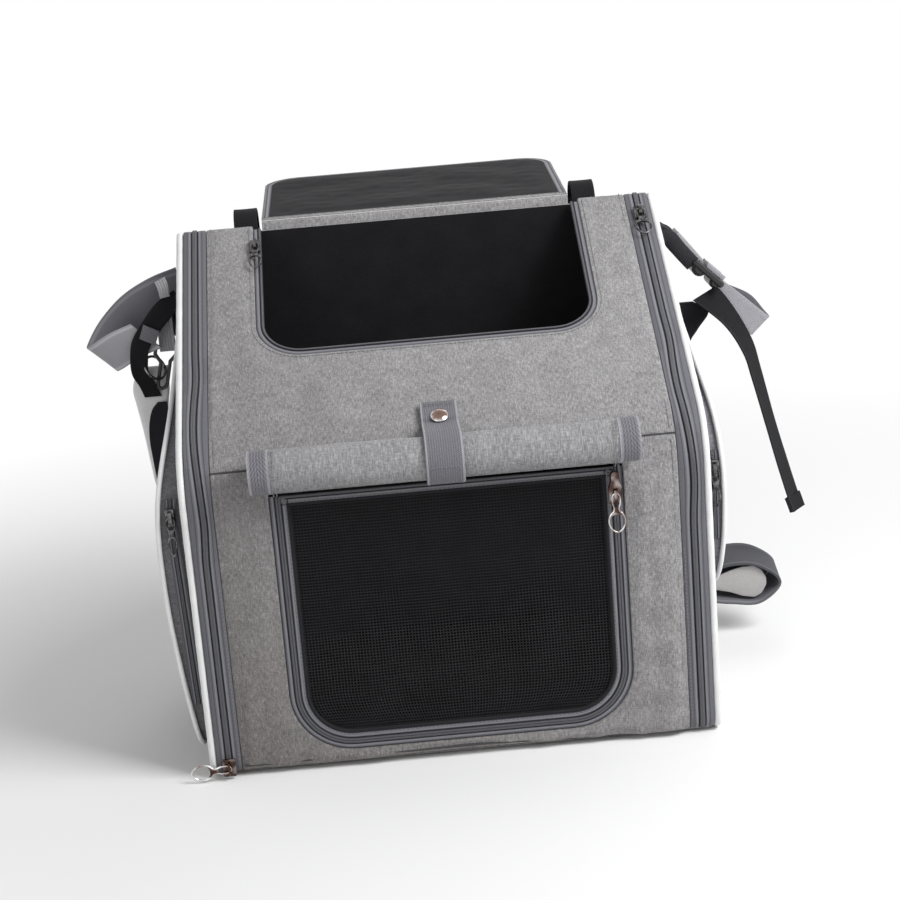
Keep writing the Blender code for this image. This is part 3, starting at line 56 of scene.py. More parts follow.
def placeCamera(view):
    # back points from the target to the camera; right and up are turned by roll about it
    turn, lift, roll = [math.radians(view[key]) for key in ("azimuth", "elevation", "roll")]
    back = Vector((math.sin(turn) * math.cos(lift), -math.cos(turn) * math.cos(lift), math.sin(lift)))
    right = (-back).cross(Vector((0, 0, 1))).normalized()
    up = right.cross(-back)
    newRight = right * math.cos(roll) + up * math.sin(roll)
    newUp = up * math.cos(roll) - right * math.sin(roll)
    data = bpy.data.cameras.new("photoCamera")
    data.lens = view["lens"]
    data.shift_x, data.shift_y = view["shift"]
    camera = bpy.data.objects.new("photoCamera", data)
    camera.matrix_world = Matrix.Translation(Vector(view["target"]) + back * view["distance"]) @ Matrix(
        (newRight, newUp, back)).transposed().to_4x4()
    scene.collection.objects.link(camera)
    scene.camera = camera


placeCamera(cameraView)


class Wire:
    # One socket of a node tree; sums on it add Math nodes, and node() adds any other node
    def __init__(self, tree, socket=None):
        self.tree = tree
        self.socket = socket

    def node(self, kind, settings=None, sockets=None, out=0):
        made = self.tree.nodes.new(kind)
        for key, value in (settings or {}).items():
            if key == "stops":
                ramp = made.color_ramp.elements
                while len(ramp) < len(value):
                    ramp.new(0.5)
                for stop, (place, colour) in zip(ramp, value):
                    stop.position = place
                    stop.color = (*colour, 1.0)
            else:
                setattr(made, key, value)
        for key, value in (sockets or {}).items():
            if isinstance(value, Wire):
                self.tree.links.new(value.socket, made.inputs[key])
            else:
                made.inputs[key].default_value = value
        return Wire(self.tree, made.outputs[out])

    def maths(self, operation, *values, clamp=False):
        settings = {"operation": operation, "use_clamp": clamp}
        return self.node("ShaderNodeMath", settings, dict(enumerate(values)))

    def __add__(self, other):
        return self.maths("ADD", self, other)

    def __sub__(self, other):
        return self.maths("SUBTRACT", self, other)

    def __rsub__(self, other):
        return self.maths("SUBTRACT", other, self)

    def __mul__(self, other):
        return self.maths("MULTIPLY", self, other)

    def __truediv__(self, other):
        return self.maths("DIVIDE", self, other)

    def __rtruediv__(self, other):
        return self.maths("DIVIDE", other, self)

    __radd__ = __add__
    __rmul__ = __mul__

    def size(self):
        return self.maths("ABSOLUTE", self)

    def clamped(self):
        return self.maths("ADD", self, 0.0, clamp=True)

    def spread(self, gain, middle):
        # the value's distance from a half, times the gain, about the middle
        return (self - 0.5) * gain + middle

    def wave(self):
        # a sine of the value, from 0 to 1
        return self.maths("SINE", self) * 0.5 + 0.5

    def ribs(self, pitch):
        return (self * (2 * math.pi / pitch)).wave()

    def line(self, place, half, soft):
        # 1 within half of place, falling to 0 over soft
        return (1 - ((self - place).size() - half) / soft).clamped()

    def noise(self, vector, scale, detail=2.0, rough=0.5):
        sockets = {"Vector": vector, "Scale": scale, "Detail": detail, "Roughness": rough}
        return self.node("ShaderNodeTexNoise", None, sockets)

    def stretched(self, vector, scales):
        return self.node("ShaderNodeMapping", None, {"Vector": vector, "Scale": scales})

    def yarns(self, vector, scales, detail=2.0, rough=0.5):
        # noise with its own scale along each axis
        return self.noise(self.stretched(vector, scales), 1.0, detail, rough)

    def mixed(self, share, first, second, blend="MIX"):
        # share of the way from the first colour to the second
        def colour(value):
            return value if isinstance(value, Wire) else (*value, 1.0)
        settings = {"data_type": "RGBA", "blend_type": blend}
        return self.node("ShaderNodeMix", settings, {0: share, 6: colour(first), 7: colour(second)}, 2)

    def tinted(self, share, colour, tint):
        # share of the way from the colour to the colour times the tint
        return self.mixed(share, colour, self.mixed(1.0, colour, tint, "MULTIPLY"))

    def ramp(self, share, *stops):
        return self.node("ShaderNodeValToRGB", {"stops": stops}, {"Fac": share})

    def parts(self, vector):
        made = self.node("ShaderNodeSeparateXYZ", None, {"Vector": vector}).socket.node
        return [Wire(self.tree, output) for output in made.outputs]

    def bump(self, height, strength, distance, below=None):
        sockets = {"Height": height, "Strength": strength, "Distance": distance}
        if below:
            sockets["Normal"] = below
        return self.node("ShaderNodeBump", None, sockets)


def newFinish(name, paint, sheen=0.0, **fixed):
    # paint gets the wires of the piece's own UV map and of its place, and gives the shader's links
    finish = bpy.data.materials.new(name)
    finish.use_nodes = True
    tree = finish.node_tree
    shader = tree.nodes["Principled BSDF"]
    wire = Wire(tree)
    uv = wire.node("ShaderNodeUVMap", {"uv_map": "weave"})
    place = wire.node("ShaderNodeTexCoord", None, None, 3)
    for key, value in paint(wire, uv, place).items():
        if isinstance(value, Wire):
            tree.links.new(value.socket, shader.inputs[key])
        else:
            shader.inputs[key].default_value = value
    shader.inputs["Sheen Weight"].default_value = sheen
    shader.inputs["Sheen Roughness"].default_value = 0.45
    shader.inputs["Sheen Tint"].default_value = (1.0, 1.0, 1.0, 1.0)
    for key, value in fixed.items():
        shader.inputs[key].default_value = value
    return finish


# Heather cloth: yarns of several greys, run up the cloth, with lighter flecks and slow shading. Dust and
# painted shade tint it darker and warmer towards the lower left. On the roll, whose axis has that height,
# painted shade makes it darker below and behind contact
clothLook = {"dark": (0.120, 0.117, 0.120), "mid": (0.262, 0.256, 0.260), "light": (0.440, 0.434, 0.438),
             "fleck": (0.62, 0.61, 0.62), "dust": (0.50, 0.458, 0.428), "shade": (0.28, 0.28, 0.29),
             "yarn": 1180.0, "run": 270.0, "gain": 2.6, "weave": 5200.0, "rough": 0.92,
             "shares": {"warp": 0.46, "weft": 0.34, "blot": 0.20, "slow": 0.30, "cloud": 0.36},
             "dusty": {"start": 0.55, "sideways": 1.7, "height": 2.2}, "axis": None, "contact": -0.1182}


def heather(name, **changes):
    # warp, weft and blots of noise choose the grey, and sines across and along raise the weave
    look = {**clothLook, **changes}
    shares, dusty = look["shares"], look["dusty"]

    def paint(w, uv, place):
        warp = w.yarns(uv, (look["yarn"], look["run"], 1.0))
        weft = w.yarns(uv, (look["run"] * 1.4, look["yarn"], 1.0))
        blot = w.yarns(uv, (430.0, 180.0, 1.0))
        cloud = w.noise(uv, 85.0)
        slow = w.noise(place, 9.0)
        yarn = warp * shares["warp"] + weft * shares["weft"] + blot * shares["blot"]
        share = yarn.spread(look["gain"], 0.5) + (slow - 0.5) * shares["slow"]
        share = share + (cloud - 0.5) * shares["cloud"]
        body = w.ramp(share.clamped(), (0.0, look["dark"]), (0.5, look["mid"]), (1.0, look["light"]))
        fleck = w.yarns(uv, (900.0, 260.0, 1.0), 1.0, 0.4)
        colour = w.mixed(((fleck - 0.66) * 9.0).clamped() * 0.4, body, look["fleck"])
        sideways, depthways, height = w.parts(place)
        # dust and painted shade: the cloth darkens and warms towards the lower left
        dust = dusty["start"] - sideways * dusty["sideways"] - height * dusty["height"]
        colour = w.tinted((dust + (slow - 0.5) * 0.3).clamped(), colour, look["dust"])
        # painted shade: the roll's cloth darkens below its axis and behind where it meets the hood
        if look["axis"]:
            under = ((look["axis"] - height) * 52.0 - 0.20).clamped() * 0.5
            behind = ((depthways - look["contact"]) * 330.0).clamped() * 0.8
            colour = w.tinted((under + behind).clamped(), colour, look["shade"])
        across, along = w.parts(uv)[:2]
        warpWave, weftWave = [w.maths("SINE", part * look["weave"]) for part in (across, along)]
        weave = warpWave * weftWave * 0.5 + yarn * 1.2
        soft = w.bump(w.yarns(place, (60.0, 60.0, 22.0)), 0.45, 0.0026)
        return {"Base Color": colour, "Roughness": look["rough"],
                "Normal": w.bump(weave, 0.45, 0.00035, soft)}
    return newFinish(name, paint, 0.10)


panelCloth = heather("heatherCloth")
rollCloth = heather("rollCloth", dark=(0.125, 0.124, 0.130), mid=(0.255, 0.253, 0.262),
                    dust=(0.88, 0.86, 0.84), axis=0.2242)
gussetCloth = heather("gussetCloth", dark=(0.075, 0.075, 0.085), mid=(0.225, 0.225, 0.245),
                      light=(0.340, 0.340, 0.365))

# Zip tape: UV runs across from the coil's middle and along the zip
tapeLook = {"tape": (0.105, 0.105, 0.120), "pale": (0.230, 0.232, 0.258), "groove": (0.007, 0.007, 0.010),
            "ridge": (0.105, 0.105, 0.120), "coilHalf": 0.0022, "grooveHalf": 0.00042, "tooth": 0.00120,
            "twill": 0.0011}


def tapePaint(w, uv, place, look=tapeLook):
    # lines at set distances from the middle mark parting, ridge, groove, pale band and hem; the near-black
    # grooves beside the coil are painted shade
    across, along = w.parts(uv)[:2]
    off = across.size()
    groove = off.line(look["coilHalf"], look["grooveHalf"], 0.00025)
    ridge = off.line(0.0, look["coilHalf"] - 0.0003, 0.0003)
    parting = off.line(0.0, 0.00018, 0.00015)
    pale = off.line(look["coilHalf"] + 0.0015, 0.0003, 0.0007) * 0.7
    hem = off.line(look["coilHalf"] + 0.0034, 0.00015, 0.00035) * 0.55
    twill = (along + off).ribs(look["twill"])
    fuzz = w.yarns(uv, (1500.0, 500.0, 1.0), 2.0, 0.6)
    cloth = w.mixed((pale + twill * 0.16 + (fuzz - 0.5) * 0.6).clamped(), look["tape"], look["pale"])
    cloth = w.mixed(hem, cloth, look["groove"])
    teeth = (along * (2 * math.pi / look["tooth"]) + across * 900.0).wave()
    coil = w.mixed(0.62, w.mixed(teeth * 0.55, look["groove"], look["ridge"]), look["ridge"])
    colour = w.mixed(ridge, cloth, coil)
    colour = w.mixed(parting * 0.5, colour, look["groove"])
    # painted shade: the grooves beside the coil are near black
    colour = w.mixed(groove, colour, look["groove"])
    height = twill * 0.3 + ridge * (teeth * 0.8 + 0.6) - groove * 1.5 + fuzz * 0.3
    return {"Base Color": colour, "Roughness": 0.72 - ridge * 0.2, "Normal": w.bump(height, 0.6, 0.0004)}


zipTape = newFinish("zipTape", tapePaint, 0.06)

# Webbing: ribs run along it, with a twill across them and a pale selvedge at each edge
webLook = {"dark": (0.080, 0.078, 0.090), "light": (0.225, 0.221, 0.248), "edge": (0.360, 0.355, 0.385),
           "half": 0.0125, "rib": 0.0016, "twill": 0.0015, "rough": 0.8, "relief": 0.7}
specular = "Specular IOR Level"
matt = {specular: 0.15}


def webbed(name, sheen=0.08, fixed=None, **changes):
    # ribs, twill and fuzz share out the dark and the light, and a line at the half width is the selvedge
    look = {**webLook, **changes}

    def paint(w, uv, place):
        across, along = w.parts(uv)[:2]
        rib = across.ribs(look["rib"])
        twill = (along + across.size() * 0.9).ribs(look["twill"])
        fuzz = w.yarns(uv, (1400.0, 700.0, 1.0), 3.0, 0.6)
        share = (rib * 0.35 + twill * 0.35 + (fuzz - 0.5) * 0.9 + 0.12).clamped()
        selvedge = across.size().line(look["half"], 0.0008, 0.0006)
        colour = w.mixed(selvedge * 0.75, w.mixed(share, look["dark"], look["light"]), look["edge"])
        height = rib * 0.5 + twill * 0.5 + fuzz * 0.4
        return {"Base Color": colour, "Roughness": look["rough"] - twill * 0.08,
                "Normal": w.bump(height, look["relief"], 0.0005)}
    return newFinish(name, paint, sheen, **(fixed or {}))


greyWeb = webbed("greyWebbing")
bindingWeb = webbed("bindingWebbing", half=0.0066, rib=0.0020, twill=0.0021, relief=0.9)
tabWeb = webbed("tabWebbing", dark=(0.20, 0.20, 0.21), light=(0.42, 0.42, 0.44), edge=(0.50, 0.50, 0.52),
                half=0.0060, rib=0.0020)
darkWeb = webbed("darkWebbing", 0.0, {specular: 0.12}, dark=(0.006, 0.006, 0.007),
                 light=(0.018, 0.018, 0.020), edge=(0.034, 0.034, 0.038), relief=0.5)
innerWeb = webbed("innerWebbing", 0.06, dark=(0.115, 0.115, 0.130), light=(0.150, 0.151, 0.172),
                  edge=(0.22, 0.22, 0.24), relief=0.08)
slateWeb = webbed("slateWebbing", 0.03, dark=(0.045, 0.045, 0.053), light=(0.072, 0.073, 0.085),
                  edge=(0.11, 0.11, 0.125), relief=0.3)
paleWeb = webbed("paleWebbing", dark=(0.300, 0.298, 0.322), light=(0.360, 0.357, 0.385),
                 edge=(0.50, 0.50, 0.53), relief=0.08)


def plain(name, first, second, scale, rough, strength, distance, sheen=0.0, rise=1.0, **fixed):
    # slow and fine grain of two near colours, drawn out upwards where rise is below 1
    def paint(w, uv, place):
        grain = w.noise(w.stretched(place, (1.0, 1.0, rise)), scale, 4.0, 0.6)
        slow = w.noise(place, scale * 0.05)
        share = (grain * 0.6 + slow * 0.4).spread(2.0, 0.5).clamped()
        return {"Base Color": w.mixed(share, first, second), "Roughness": grain.spread(0.12, rough),
                "Normal": w.bump(grain, strength, distance)}
    return newFinish(name, paint, sheen, **fixed)


def ribbed(name, first, second, pitch, rough, strength, **fixed):
    # ribs across the piece's own length, as in a cord cover or a bound edge
    def paint(w, uv, place):
        rib = w.parts(uv)[1].ribs(pitch)
        dirt = w.noise(place, 55.0, 3.0, 0.6)
        share = (rib * 0.35 + (dirt - 0.5) * 1.1 + 0.35).clamped()
        return {"Base Color": w.mixed(share, first, second), "Roughness": dirt.spread(0.2, rough),
                "Normal": w.bump(rib, strength, 0.0003)}
    return newFinish(name, paint, **fixed)


def metal(name, colour, scale, gloss, strength, squash=1.0):
    # scuffs vary the gloss, and colour gives the metal's own colour at each place
    def paint(w, uv, place):
        scuff = w.noise(w.stretched(place, (1.0, 1.0, squash)), scale, 4.0, 0.7)
        return {"Base Color": colour(w, place), "Metallic": 1.0, "Roughness": scuff.spread(*gloss),
                "Normal": w.bump(scuff, strength, 0.0002)}
    return newFinish(name, paint)


def plated(name, *stops):
    # bright plate with fine scuffs, and dark brown and bright patches a few millimetres wide painted in as
    # reflections
    def colour(w, place):
        return w.ramp(w.noise(place, 150.0, 1.0, 0.4).spread(1.5, 0.5), *stops)
    return metal(name, colour, 1500.0, (0.14, 0.17), 0.05, 0.35)


def rubbedDark(w, place):
    # dark plated metal, rubbed lighter in places
    rub = w.noise(place, 260.0, 3.0, 0.6)
    return w.mixed(rub.spread(3.0, 0.35).clamped(), (0.045, 0.042, 0.042), (0.24, 0.235, 0.235))


def capPaint(w, uv, place):
    # the snap's dome has painted reflections: a brown bronze at its crown and bright towards its rim
    radius = w.parts(uv)[0]
    patch = w.noise(place, 260.0)
    share = radius * 122.0 + (patch - 0.5) * 0.45
    colour = w.ramp(share.clamped(), (0.0, (0.17, 0.105, 0.085)), (0.52, (0.25, 0.165, 0.140)),
                    (0.72, (0.70, 0.68, 0.67)), (1.0, (0.82, 0.82, 0.83)))
    return {"Base Color": colour, "Metallic": 1.0, "Roughness": patch.spread(0.1, 0.15),
            "Normal": w.bump(patch, 0.03, 0.0002)}


piping = ribbed("whitePiping", (0.66, 0.66, 0.67), (0.84, 0.84, 0.84), 0.0013, 0.45, 0.25)
blackEdge = ribbed("blackEdging", (0.008, 0.008, 0.010), (0.022, 0.022, 0.026), 0.0011, 0.7, 0.5, **matt)
netYarn = ribbed("netYarn", (0.006, 0.006, 0.007), (0.020, 0.020, 0.022), 0.0009, 0.6, 0.4, **matt)
thread = ribbed("sewingThread", (0.16, 0.16, 0.165), (0.26, 0.26, 0.27), 0.0006, 0.6, 0.3)
lining = plain("blackLining", (0.004, 0.004, 0.005), (0.014, 0.014, 0.016), 900.0, 0.8, 0.3, 0.0004, rise=0.6,
               **matt)
loopLining = plain("loopLining", (0.37, 0.36, 0.355), (0.49, 0.48, 0.475), 700.0, 0.85, 0.3, 0.0004, 0.10)
padShell = plain("padCloth", (0.68, 0.68, 0.69), (0.84, 0.84, 0.85), 700.0, 0.8, 0.25, 0.0004, 0.15)
padBack = plain("padMesh", (0.010, 0.010, 0.012), (0.022, 0.022, 0.026), 1100.0, 0.75, 0.6, 0.0006, **matt)
board = plain("floorBoard", (0.020, 0.020, 0.022), (0.050, 0.050, 0.052), 260.0, 0.6, 0.3, 0.0005)
plush = plain("cushionPlush", (0.007, 0.007, 0.008), (0.028, 0.028, 0.030), 520.0, 0.95, 0.9, 0.0016, 0.1,
              **matt)
plastic = plain("blackPlastic", (0.010, 0.010, 0.011), (0.024, 0.024, 0.026), 1600.0, 0.36, 0.12, 0.0003)
# painted shade: a near-black finish for the seams' grooves
seamGrooveShade = plain("seamShade", (0.035, 0.035, 0.038), (0.060, 0.060, 0.064), 800.0, 0.9, 0.3, 0.0003)
# plated chrome and its darker copy: the ramps' brown and bright patches are painted reflections
chrome = plated("chrome", (0.0, (0.20, 0.145, 0.125)), (0.30, (0.36, 0.30, 0.28)), (0.60, (0.66, 0.65, 0.65)),
                (1.0, (0.86, 0.86, 0.87)))
darkChromePaintedReflections = plated("darkChromePaintedReflections", (0.0, (0.030, 0.018, 0.014)), (0.42, (0.085, 0.052, 0.042)),
                    (0.60, (0.24, 0.19, 0.175)), (1.0, (0.62, 0.60, 0.60)))
capMetal = newFinish("capMetal", capPaint)
gunmetal = metal("gunmetal", rubbedDark, 1300.0, (0.2, 0.28), 0.06)
print("finishes made")


# Surfaces: grids of points become meshes with the UV map "weave", in metres
def gridQuads(rows, columns, closeRows=False, closeColumns=False, width=None):
    # the four corners of each cell of a grid, counted on round where the grid is closed
    i, j = np.meshgrid(np.arange(rows - 1 + closeRows), np.arange(columns - 1 + closeColumns), indexing="ij")
    k = (i + 1) % rows if width is None else i + 1
    m = (j + 1) % columns if width is None else j + 1
    width = width or columns
    return np.stack([i * width + j, k * width + j, k * width + m, i * width + m], axis=-1).reshape(-1, 4)


def makePiece(name, points, quads, uvs, finishes, finishOf=None, body="carrier", slot=None, replaces=(),
              extra=(), weld=False, sharp=40.0):
    # points (n, 3), quads (m, 4), uvs for each corner of the quads; extra faces are caps
    mesh = bpy.data.meshes.new(name)
    faces = [tuple(quad) for quad in np.asarray(quads).tolist()] + [tuple(face) for face in extra]
    mesh.from_pydata(np.asarray(points).reshape(-1, 3).tolist(), [], faces)
    layer = mesh.uv_layers.new(name="weave")
    flat = np.zeros((len(mesh.loops), 2), np.float32)
    known = np.asarray(uvs, np.float32).reshape(-1, 2)
    flat[:len(known)] = known
    layer.data.foreach_set("uv", flat.ravel())
    for finish in finishes:
        mesh.materials.append(finish)
    if finishOf is not None:
        index = np.zeros(len(mesh.polygons), np.int32)
        index[:len(finishOf)] = finishOf
        mesh.polygons.foreach_set("material_index", index)
    work = bmesh.new()
    work.from_mesh(mesh)
    if weld:
        bmesh.ops.remove_doubles(work, verts=work.verts[:], dist=1e-6)
    bmesh.ops.recalc_face_normals(work, faces=work.faces[:])
    work.to_mesh(mesh)
    work.free()
    mesh.shade_smooth()
    mesh.set_sharp_from_angle(angle=math.radians(sharp))
    piece = bpy.data.objects.new(name, mesh)
    scene.collection.objects.link(piece)
    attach(piece, body)
    if replaces:
        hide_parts(*replaces)
    return piece


def slab(name, outer, inner, uv, finishes, closeRows=False, rims=(0, -1), outside=0, **more):
    # two grids of the same shape, face to face, joined by walls along the columns named in rims, and along
    # the first and last rows where the rows don't close on themselves
    rows, columns = outer.shape[:2]
    quads = gridQuads(rows, columns, closeRows)
    shift = rows * columns
    lines = [np.arange(rows) * columns + column % columns for column in rims]
    if closeRows:
        borders = [(line, np.roll(line, -1)) for line in lines]
    else:
        lines += [row * columns + np.arange(columns) for row in (0, rows - 1)]
        borders = [(line[:-1], line[1:]) for line in lines]
    walls = np.concatenate([np.stack([here, there, there + shift, here + shift], -1)
                            for here, there in borders])
    allQuads = np.concatenate([quads, quads[:, ::-1] + shift, walls])
    faces = np.broadcast_to(outside, (len(quads) // (columns - 1), columns - 1)).ravel()
    which = np.concatenate([faces, np.ones(len(quads)), np.zeros(len(walls))])
    which = np.minimum(which, len(finishes) - 1)
    points = np.concatenate([outer.reshape(-1, 3), inner.reshape(-1, 3)])
    return makePiece(name, points, allQuads, uv.reshape(-1, 2)[allQuads % shift], finishes, which, **more)


def tube(name, points, uv, finishes, closePath=False, finishOf=None, **more):
    # a grid whose columns go round a closed section; open ends get a cap
    rows, columns = points.shape[:2]
    quads = gridQuads(rows, columns, closePath, True)
    corners = gridQuads(rows, columns, closePath, True, width=columns + 1)
    caps = [] if closePath else [range(columns), range((rows - 1) * columns, rows * columns)]
    if finishOf is not None:
        finishOf = np.broadcast_to(finishOf, (rows if closePath else rows - 1, columns)).ravel()
    return makePiece(name, points, quads, uv.reshape(-1, 2)[corners], finishes, finishOf, extra=caps, **more)


def unit(vectors):
    return vectors / np.maximum(np.linalg.norm(vectors, axis=-1, keepdims=True), 1e-12)


def stacked(*parts):
    # coordinates spread to one shape and put together as points
    return np.stack(np.broadcast_arrays(*parts), -1)


def fullTurn(steps):
    # angles once round, with the first one again at the end
    return np.linspace(0, 2 * math.pi, steps + 1)


def distances(points):
    # how far along the line each of its points is
    return np.concatenate([[0], np.cumsum(np.linalg.norm(np.diff(points, axis=0), axis=1))])


def readAt(at, length, rows):
    # each column of the rows, which lie at those lengths, read at other distances
    return np.stack([np.interp(at, length, rows[:, k]) for k in range(rows.shape[1])], -1)


def roundedLine(corners, radii, steps=12):
    # each corner of a clockwise line gives an arc that touches both its sides; inward normals go with it
    corners = np.array(corners, float)
    radii = np.array(radii, float)
    before = unit(corners - np.roll(corners, 1, axis=0))
    after = unit(np.roll(corners, -1, axis=0) - corners)
    first = np.stack([before[:, 1], -before[:, 0]], -1)
    last = np.stack([after[:, 1], -after[:, 0]], -1)
    dot = (first * last).sum(-1)
    centre = corners + (first + last) / (1 + dot)[:, None] * radii[:, None]
    start = np.arctan2(-first[:, 1], -first[:, 0])
    turn = np.arctan2(first[:, 0] * last[:, 1] - first[:, 1] * last[:, 0], dot)
    angles = start[:, None] + turn[:, None] * np.linspace(0, 1, steps + 1)
    spokes = np.stack([np.cos(angles), np.sin(angles)], -1)
    return centre[:, None] + spokes * radii[:, None, None], -spokes


def walk(points, normals, closed=False):
    # the line with the distance walked to each of its points
    points, normals = points.reshape(-1, 2), normals.reshape(-1, 2)
    if closed:
        points, normals = [np.concatenate([part, part[:1]]) for part in (points, normals)]
    return points, normals, distances(points)


def opened(arcs, first):
    # three sides of a four-cornered line, from the first corner's arc to the last corner's
    order = [(first + k) % 4 for k in range(4)]
    return walk(*[np.concatenate([part[order[0]][-1:], part[order[1]], part[order[2]], part[order[3]][:1]])
                  for part in arcs])


def sampled(line, at):
    # places and inward normals of the line at those distances
    points, normals, length = line
    return readAt(at, length, points), unit(readAt(at, length, normals))


def evenly(line, spacing):
    count = max(int(math.ceil(line[2][-1] / spacing)), 2)
    return np.linspace(0, line[2][-1], count + 1)


def ripple(u, v, wave, seed, stretch=1.0, count=9):
    # a sum of cosine waves of random direction and phase, stretched along v
    rng = np.random.default_rng(seed)
    total = np.zeros(np.broadcast(u, v).shape)
    for turn, phase, size in rng.uniform((0, 0, 0.7), (math.pi, 2 * math.pi, 1.5), (count, 3)):
        ahead = u * math.cos(turn) + v / stretch * math.sin(turn)
        total += np.cos(ahead * 2 * math.pi * size / wave + phase)
    return total / math.sqrt(count / 2)


def smoothStep(value):
    value = np.clip(value, 0, 1)
    return value * value * (3 - 2 * value)


def smoothed(values, per):
    # a Catmull-Rom curve through rows of values, with per steps between neighbours
    ends = np.concatenate([[2 * values[0] - values[1]], values, [2 * values[-1] - values[-2]]])
    a, b, c, d = [ends[k:len(ends) - 3 + k][:, None] for k in range(4)]
    t = (np.arange(per) / per)[:, None]
    curve = 0.5 * (2 * b + (c - a) * t + (2 * a - 5 * b + 4 * c - d) * t ** 2
                   + (3 * b - 3 * c + d - a) * t ** 3)
    return np.concatenate([curve.reshape(-1, values.shape[1]), values[-1:]])


# The body's side profile, walked from the middle of the front foot's arc up over the top to the back;
# up the flat front the distance walked is the height
shape = {"depth": 0.220, "bendHeight": 0.2255, "topHeight": 0.3585, "wall": 0.0032,
         "radii": (0.012, 0.050, 0.004, 0.012), "panelHalf": 0.15985, "sideFace": 0.1775, "steps": 24,
         "seam": 0.222975, "slopeFrom": 0.22045, "backStart": 0.47889, "backEnd": 0.82773}
front, back = -shape["depth"] / 2, shape["depth"] / 2
wall, bendHeight = shape["wall"], shape["bendHeight"]
sideFace, panelHalf = shape["sideFace"], shape["panelHalf"]
seamAt, backStart, backEnd = shape["seam"], shape["backStart"], shape["backEnd"]
slopeAngle = math.atan2(shape["topHeight"] - bendHeight, shape["depth"])
slopeCos, slopeSin = math.cos(slopeAngle), math.sin(slopeAngle)
profileArcs = roundedLine([(front, 0), (front, bendHeight), (back, shape["topHeight"]), (back, 0)],
                          shape["radii"], shape["steps"])
profile = walk(*[np.roll(part.reshape(-1, 2), -shape["steps"] // 2, axis=0) for part in profileArcs],
               closed=True)
profileStart = shape["radii"][0] * (1 - math.pi / 4)
profileEnd = profileStart + profile[2][-1]


def shell(x, s, depth=0.0):
    # a point of the body: x across, s along the side profile, depth inwards from it
    x, s, depth = np.broadcast_arrays(x, s, depth)
    point, normal = sampled(profile, s - profileStart)
    flat = point + normal * depth[..., None]
    return np.stack([x, flat[..., 0], flat[..., 1]], -1)


def onSlope(x, t, depth):
    # a point over the flat slope: t up it from the bend's corner, depth inwards
    y = front + t * slopeCos + depth * slopeSin
    return stacked(x, y, bendHeight + t * slopeSin - depth * slopeCos)


def sideLine(points, closed, counts):
    # the sides of a line, each from the middle of one corner's arc to the middle of the next, in even steps
    half = points.shape[1] // 2
    parts = []
    for k in range(len(points) if closed else len(points) - 1):
        side = np.concatenate([points[k][half:], points[(k + 1) % len(points)][:half + 1]])
        length = distances(side)
        parts.append(readAt(np.linspace(0, length[-1], counts[k] + 1)[:-1], length, side))
    return np.concatenate(parts)


def hemmed(distance, radius=0.0014, drop=0.0010):
    # how far a folded edge rounds down within radius of its border
    share = np.clip(1 - distance / radius, 0, 1)
    return drop * (1 - np.sqrt(np.maximum(1 - share ** 2, 0)))


def ringGrid(inner, outer, columns):
    # straight steps from the inner line to the outer one, closer at both, with the distance from each
    share = 0.5 - 0.5 * np.cos(np.linspace(0, math.pi, columns))
    grid = inner[:, None] * (1 - share[:, None]) + outer[:, None] * share[:, None]
    width = np.linalg.norm(outer - inner, axis=1)[:, None]
    return grid[..., 0], grid[..., 1], share * width, (1 - share) * width


def clothPanel(name, x, s, depth, node, **more):
    # cloth at that depth, with the lining on the wall's inner face
    return slab(name, shell(x, s, depth), shell(x, s, wall), stacked(x, s), [panelCloth, lining],
                slot="heather_fabric", replaces=[node], **more)


# Front panel: a ring of cloth between the window's cut and the panel's border
frontLook = {"puff": 0.0020, "wrinkle": 0.00090, "wave": 0.045, "cutHalf": 0.1218, "cutSill": 0.0123,
             "cutCorner": 0.0443, "cutHead": 0.2054, "rows": (46, 60, 46, 60), "columns": 34}


def makeFrontPanel(look):
    # puff and creases fade out at the cut, the border and the roll; dents go up the right-hand edge
    half, sill, head, corner = [look[key] for key in ("cutHalf", "cutSill", "cutHead", "cutCorner")]
    cut = roundedLine([(half, head), (half, sill), (-half, sill), (-half, head)],
                      [0.001, corner, corner, 0.001])
    low, high = profileStart + 0.0001, seamAt - 0.00015
    border = roundedLine([(panelHalf, high), (panelHalf, low), (-panelHalf, low), (-panelHalf, high)],
                         [1e-5] * 4)
    inner, outer = [sideLine(points, True, look["rows"]) for points in (cut[0], border[0])]
    x, s, fromCut, fromBorder = ringGrid(inner, outer, look["columns"])
    free = smoothStep(fromCut / 0.012) * smoothStep(fromBorder / 0.010) * smoothStep((0.205 - s) / 0.02)
    creases = ripple(x, s, look["wave"], 11, 2.6) * 0.7 + ripple(x, s, 0.016, 12, 3.5) * 0.28
    right = smoothStep((x - 0.10) / 0.03)
    dents = np.sin(s * 2 * math.pi / 0.031 + 9.0 * (x - 0.14)) * right * smoothStep((0.17 - s) / 0.05)
    lift = free * (look["puff"] + look["wrinkle"] * (creases * (0.55 + 0.6 * right) + dents * 0.9))
    return clothPanel("frontPanel", x, s, hemmed(fromCut) + hemmed(fromBorder) - lift, "front_panel",
                      closeRows=True)


frontPanel = makeFrontPanel(frontLook)

# Hood: cloth over the bend and up the slope, cut out in a U for the head opening
hoodLook = {"puff": 0.0012, "wrinkle": 0.0007, "wave": 0.060, "cutHalf": 0.1245, "cutFront": 0.107,
            "cutCorner": 0.034, "counts": (54, 84, 54), "columns": 56}


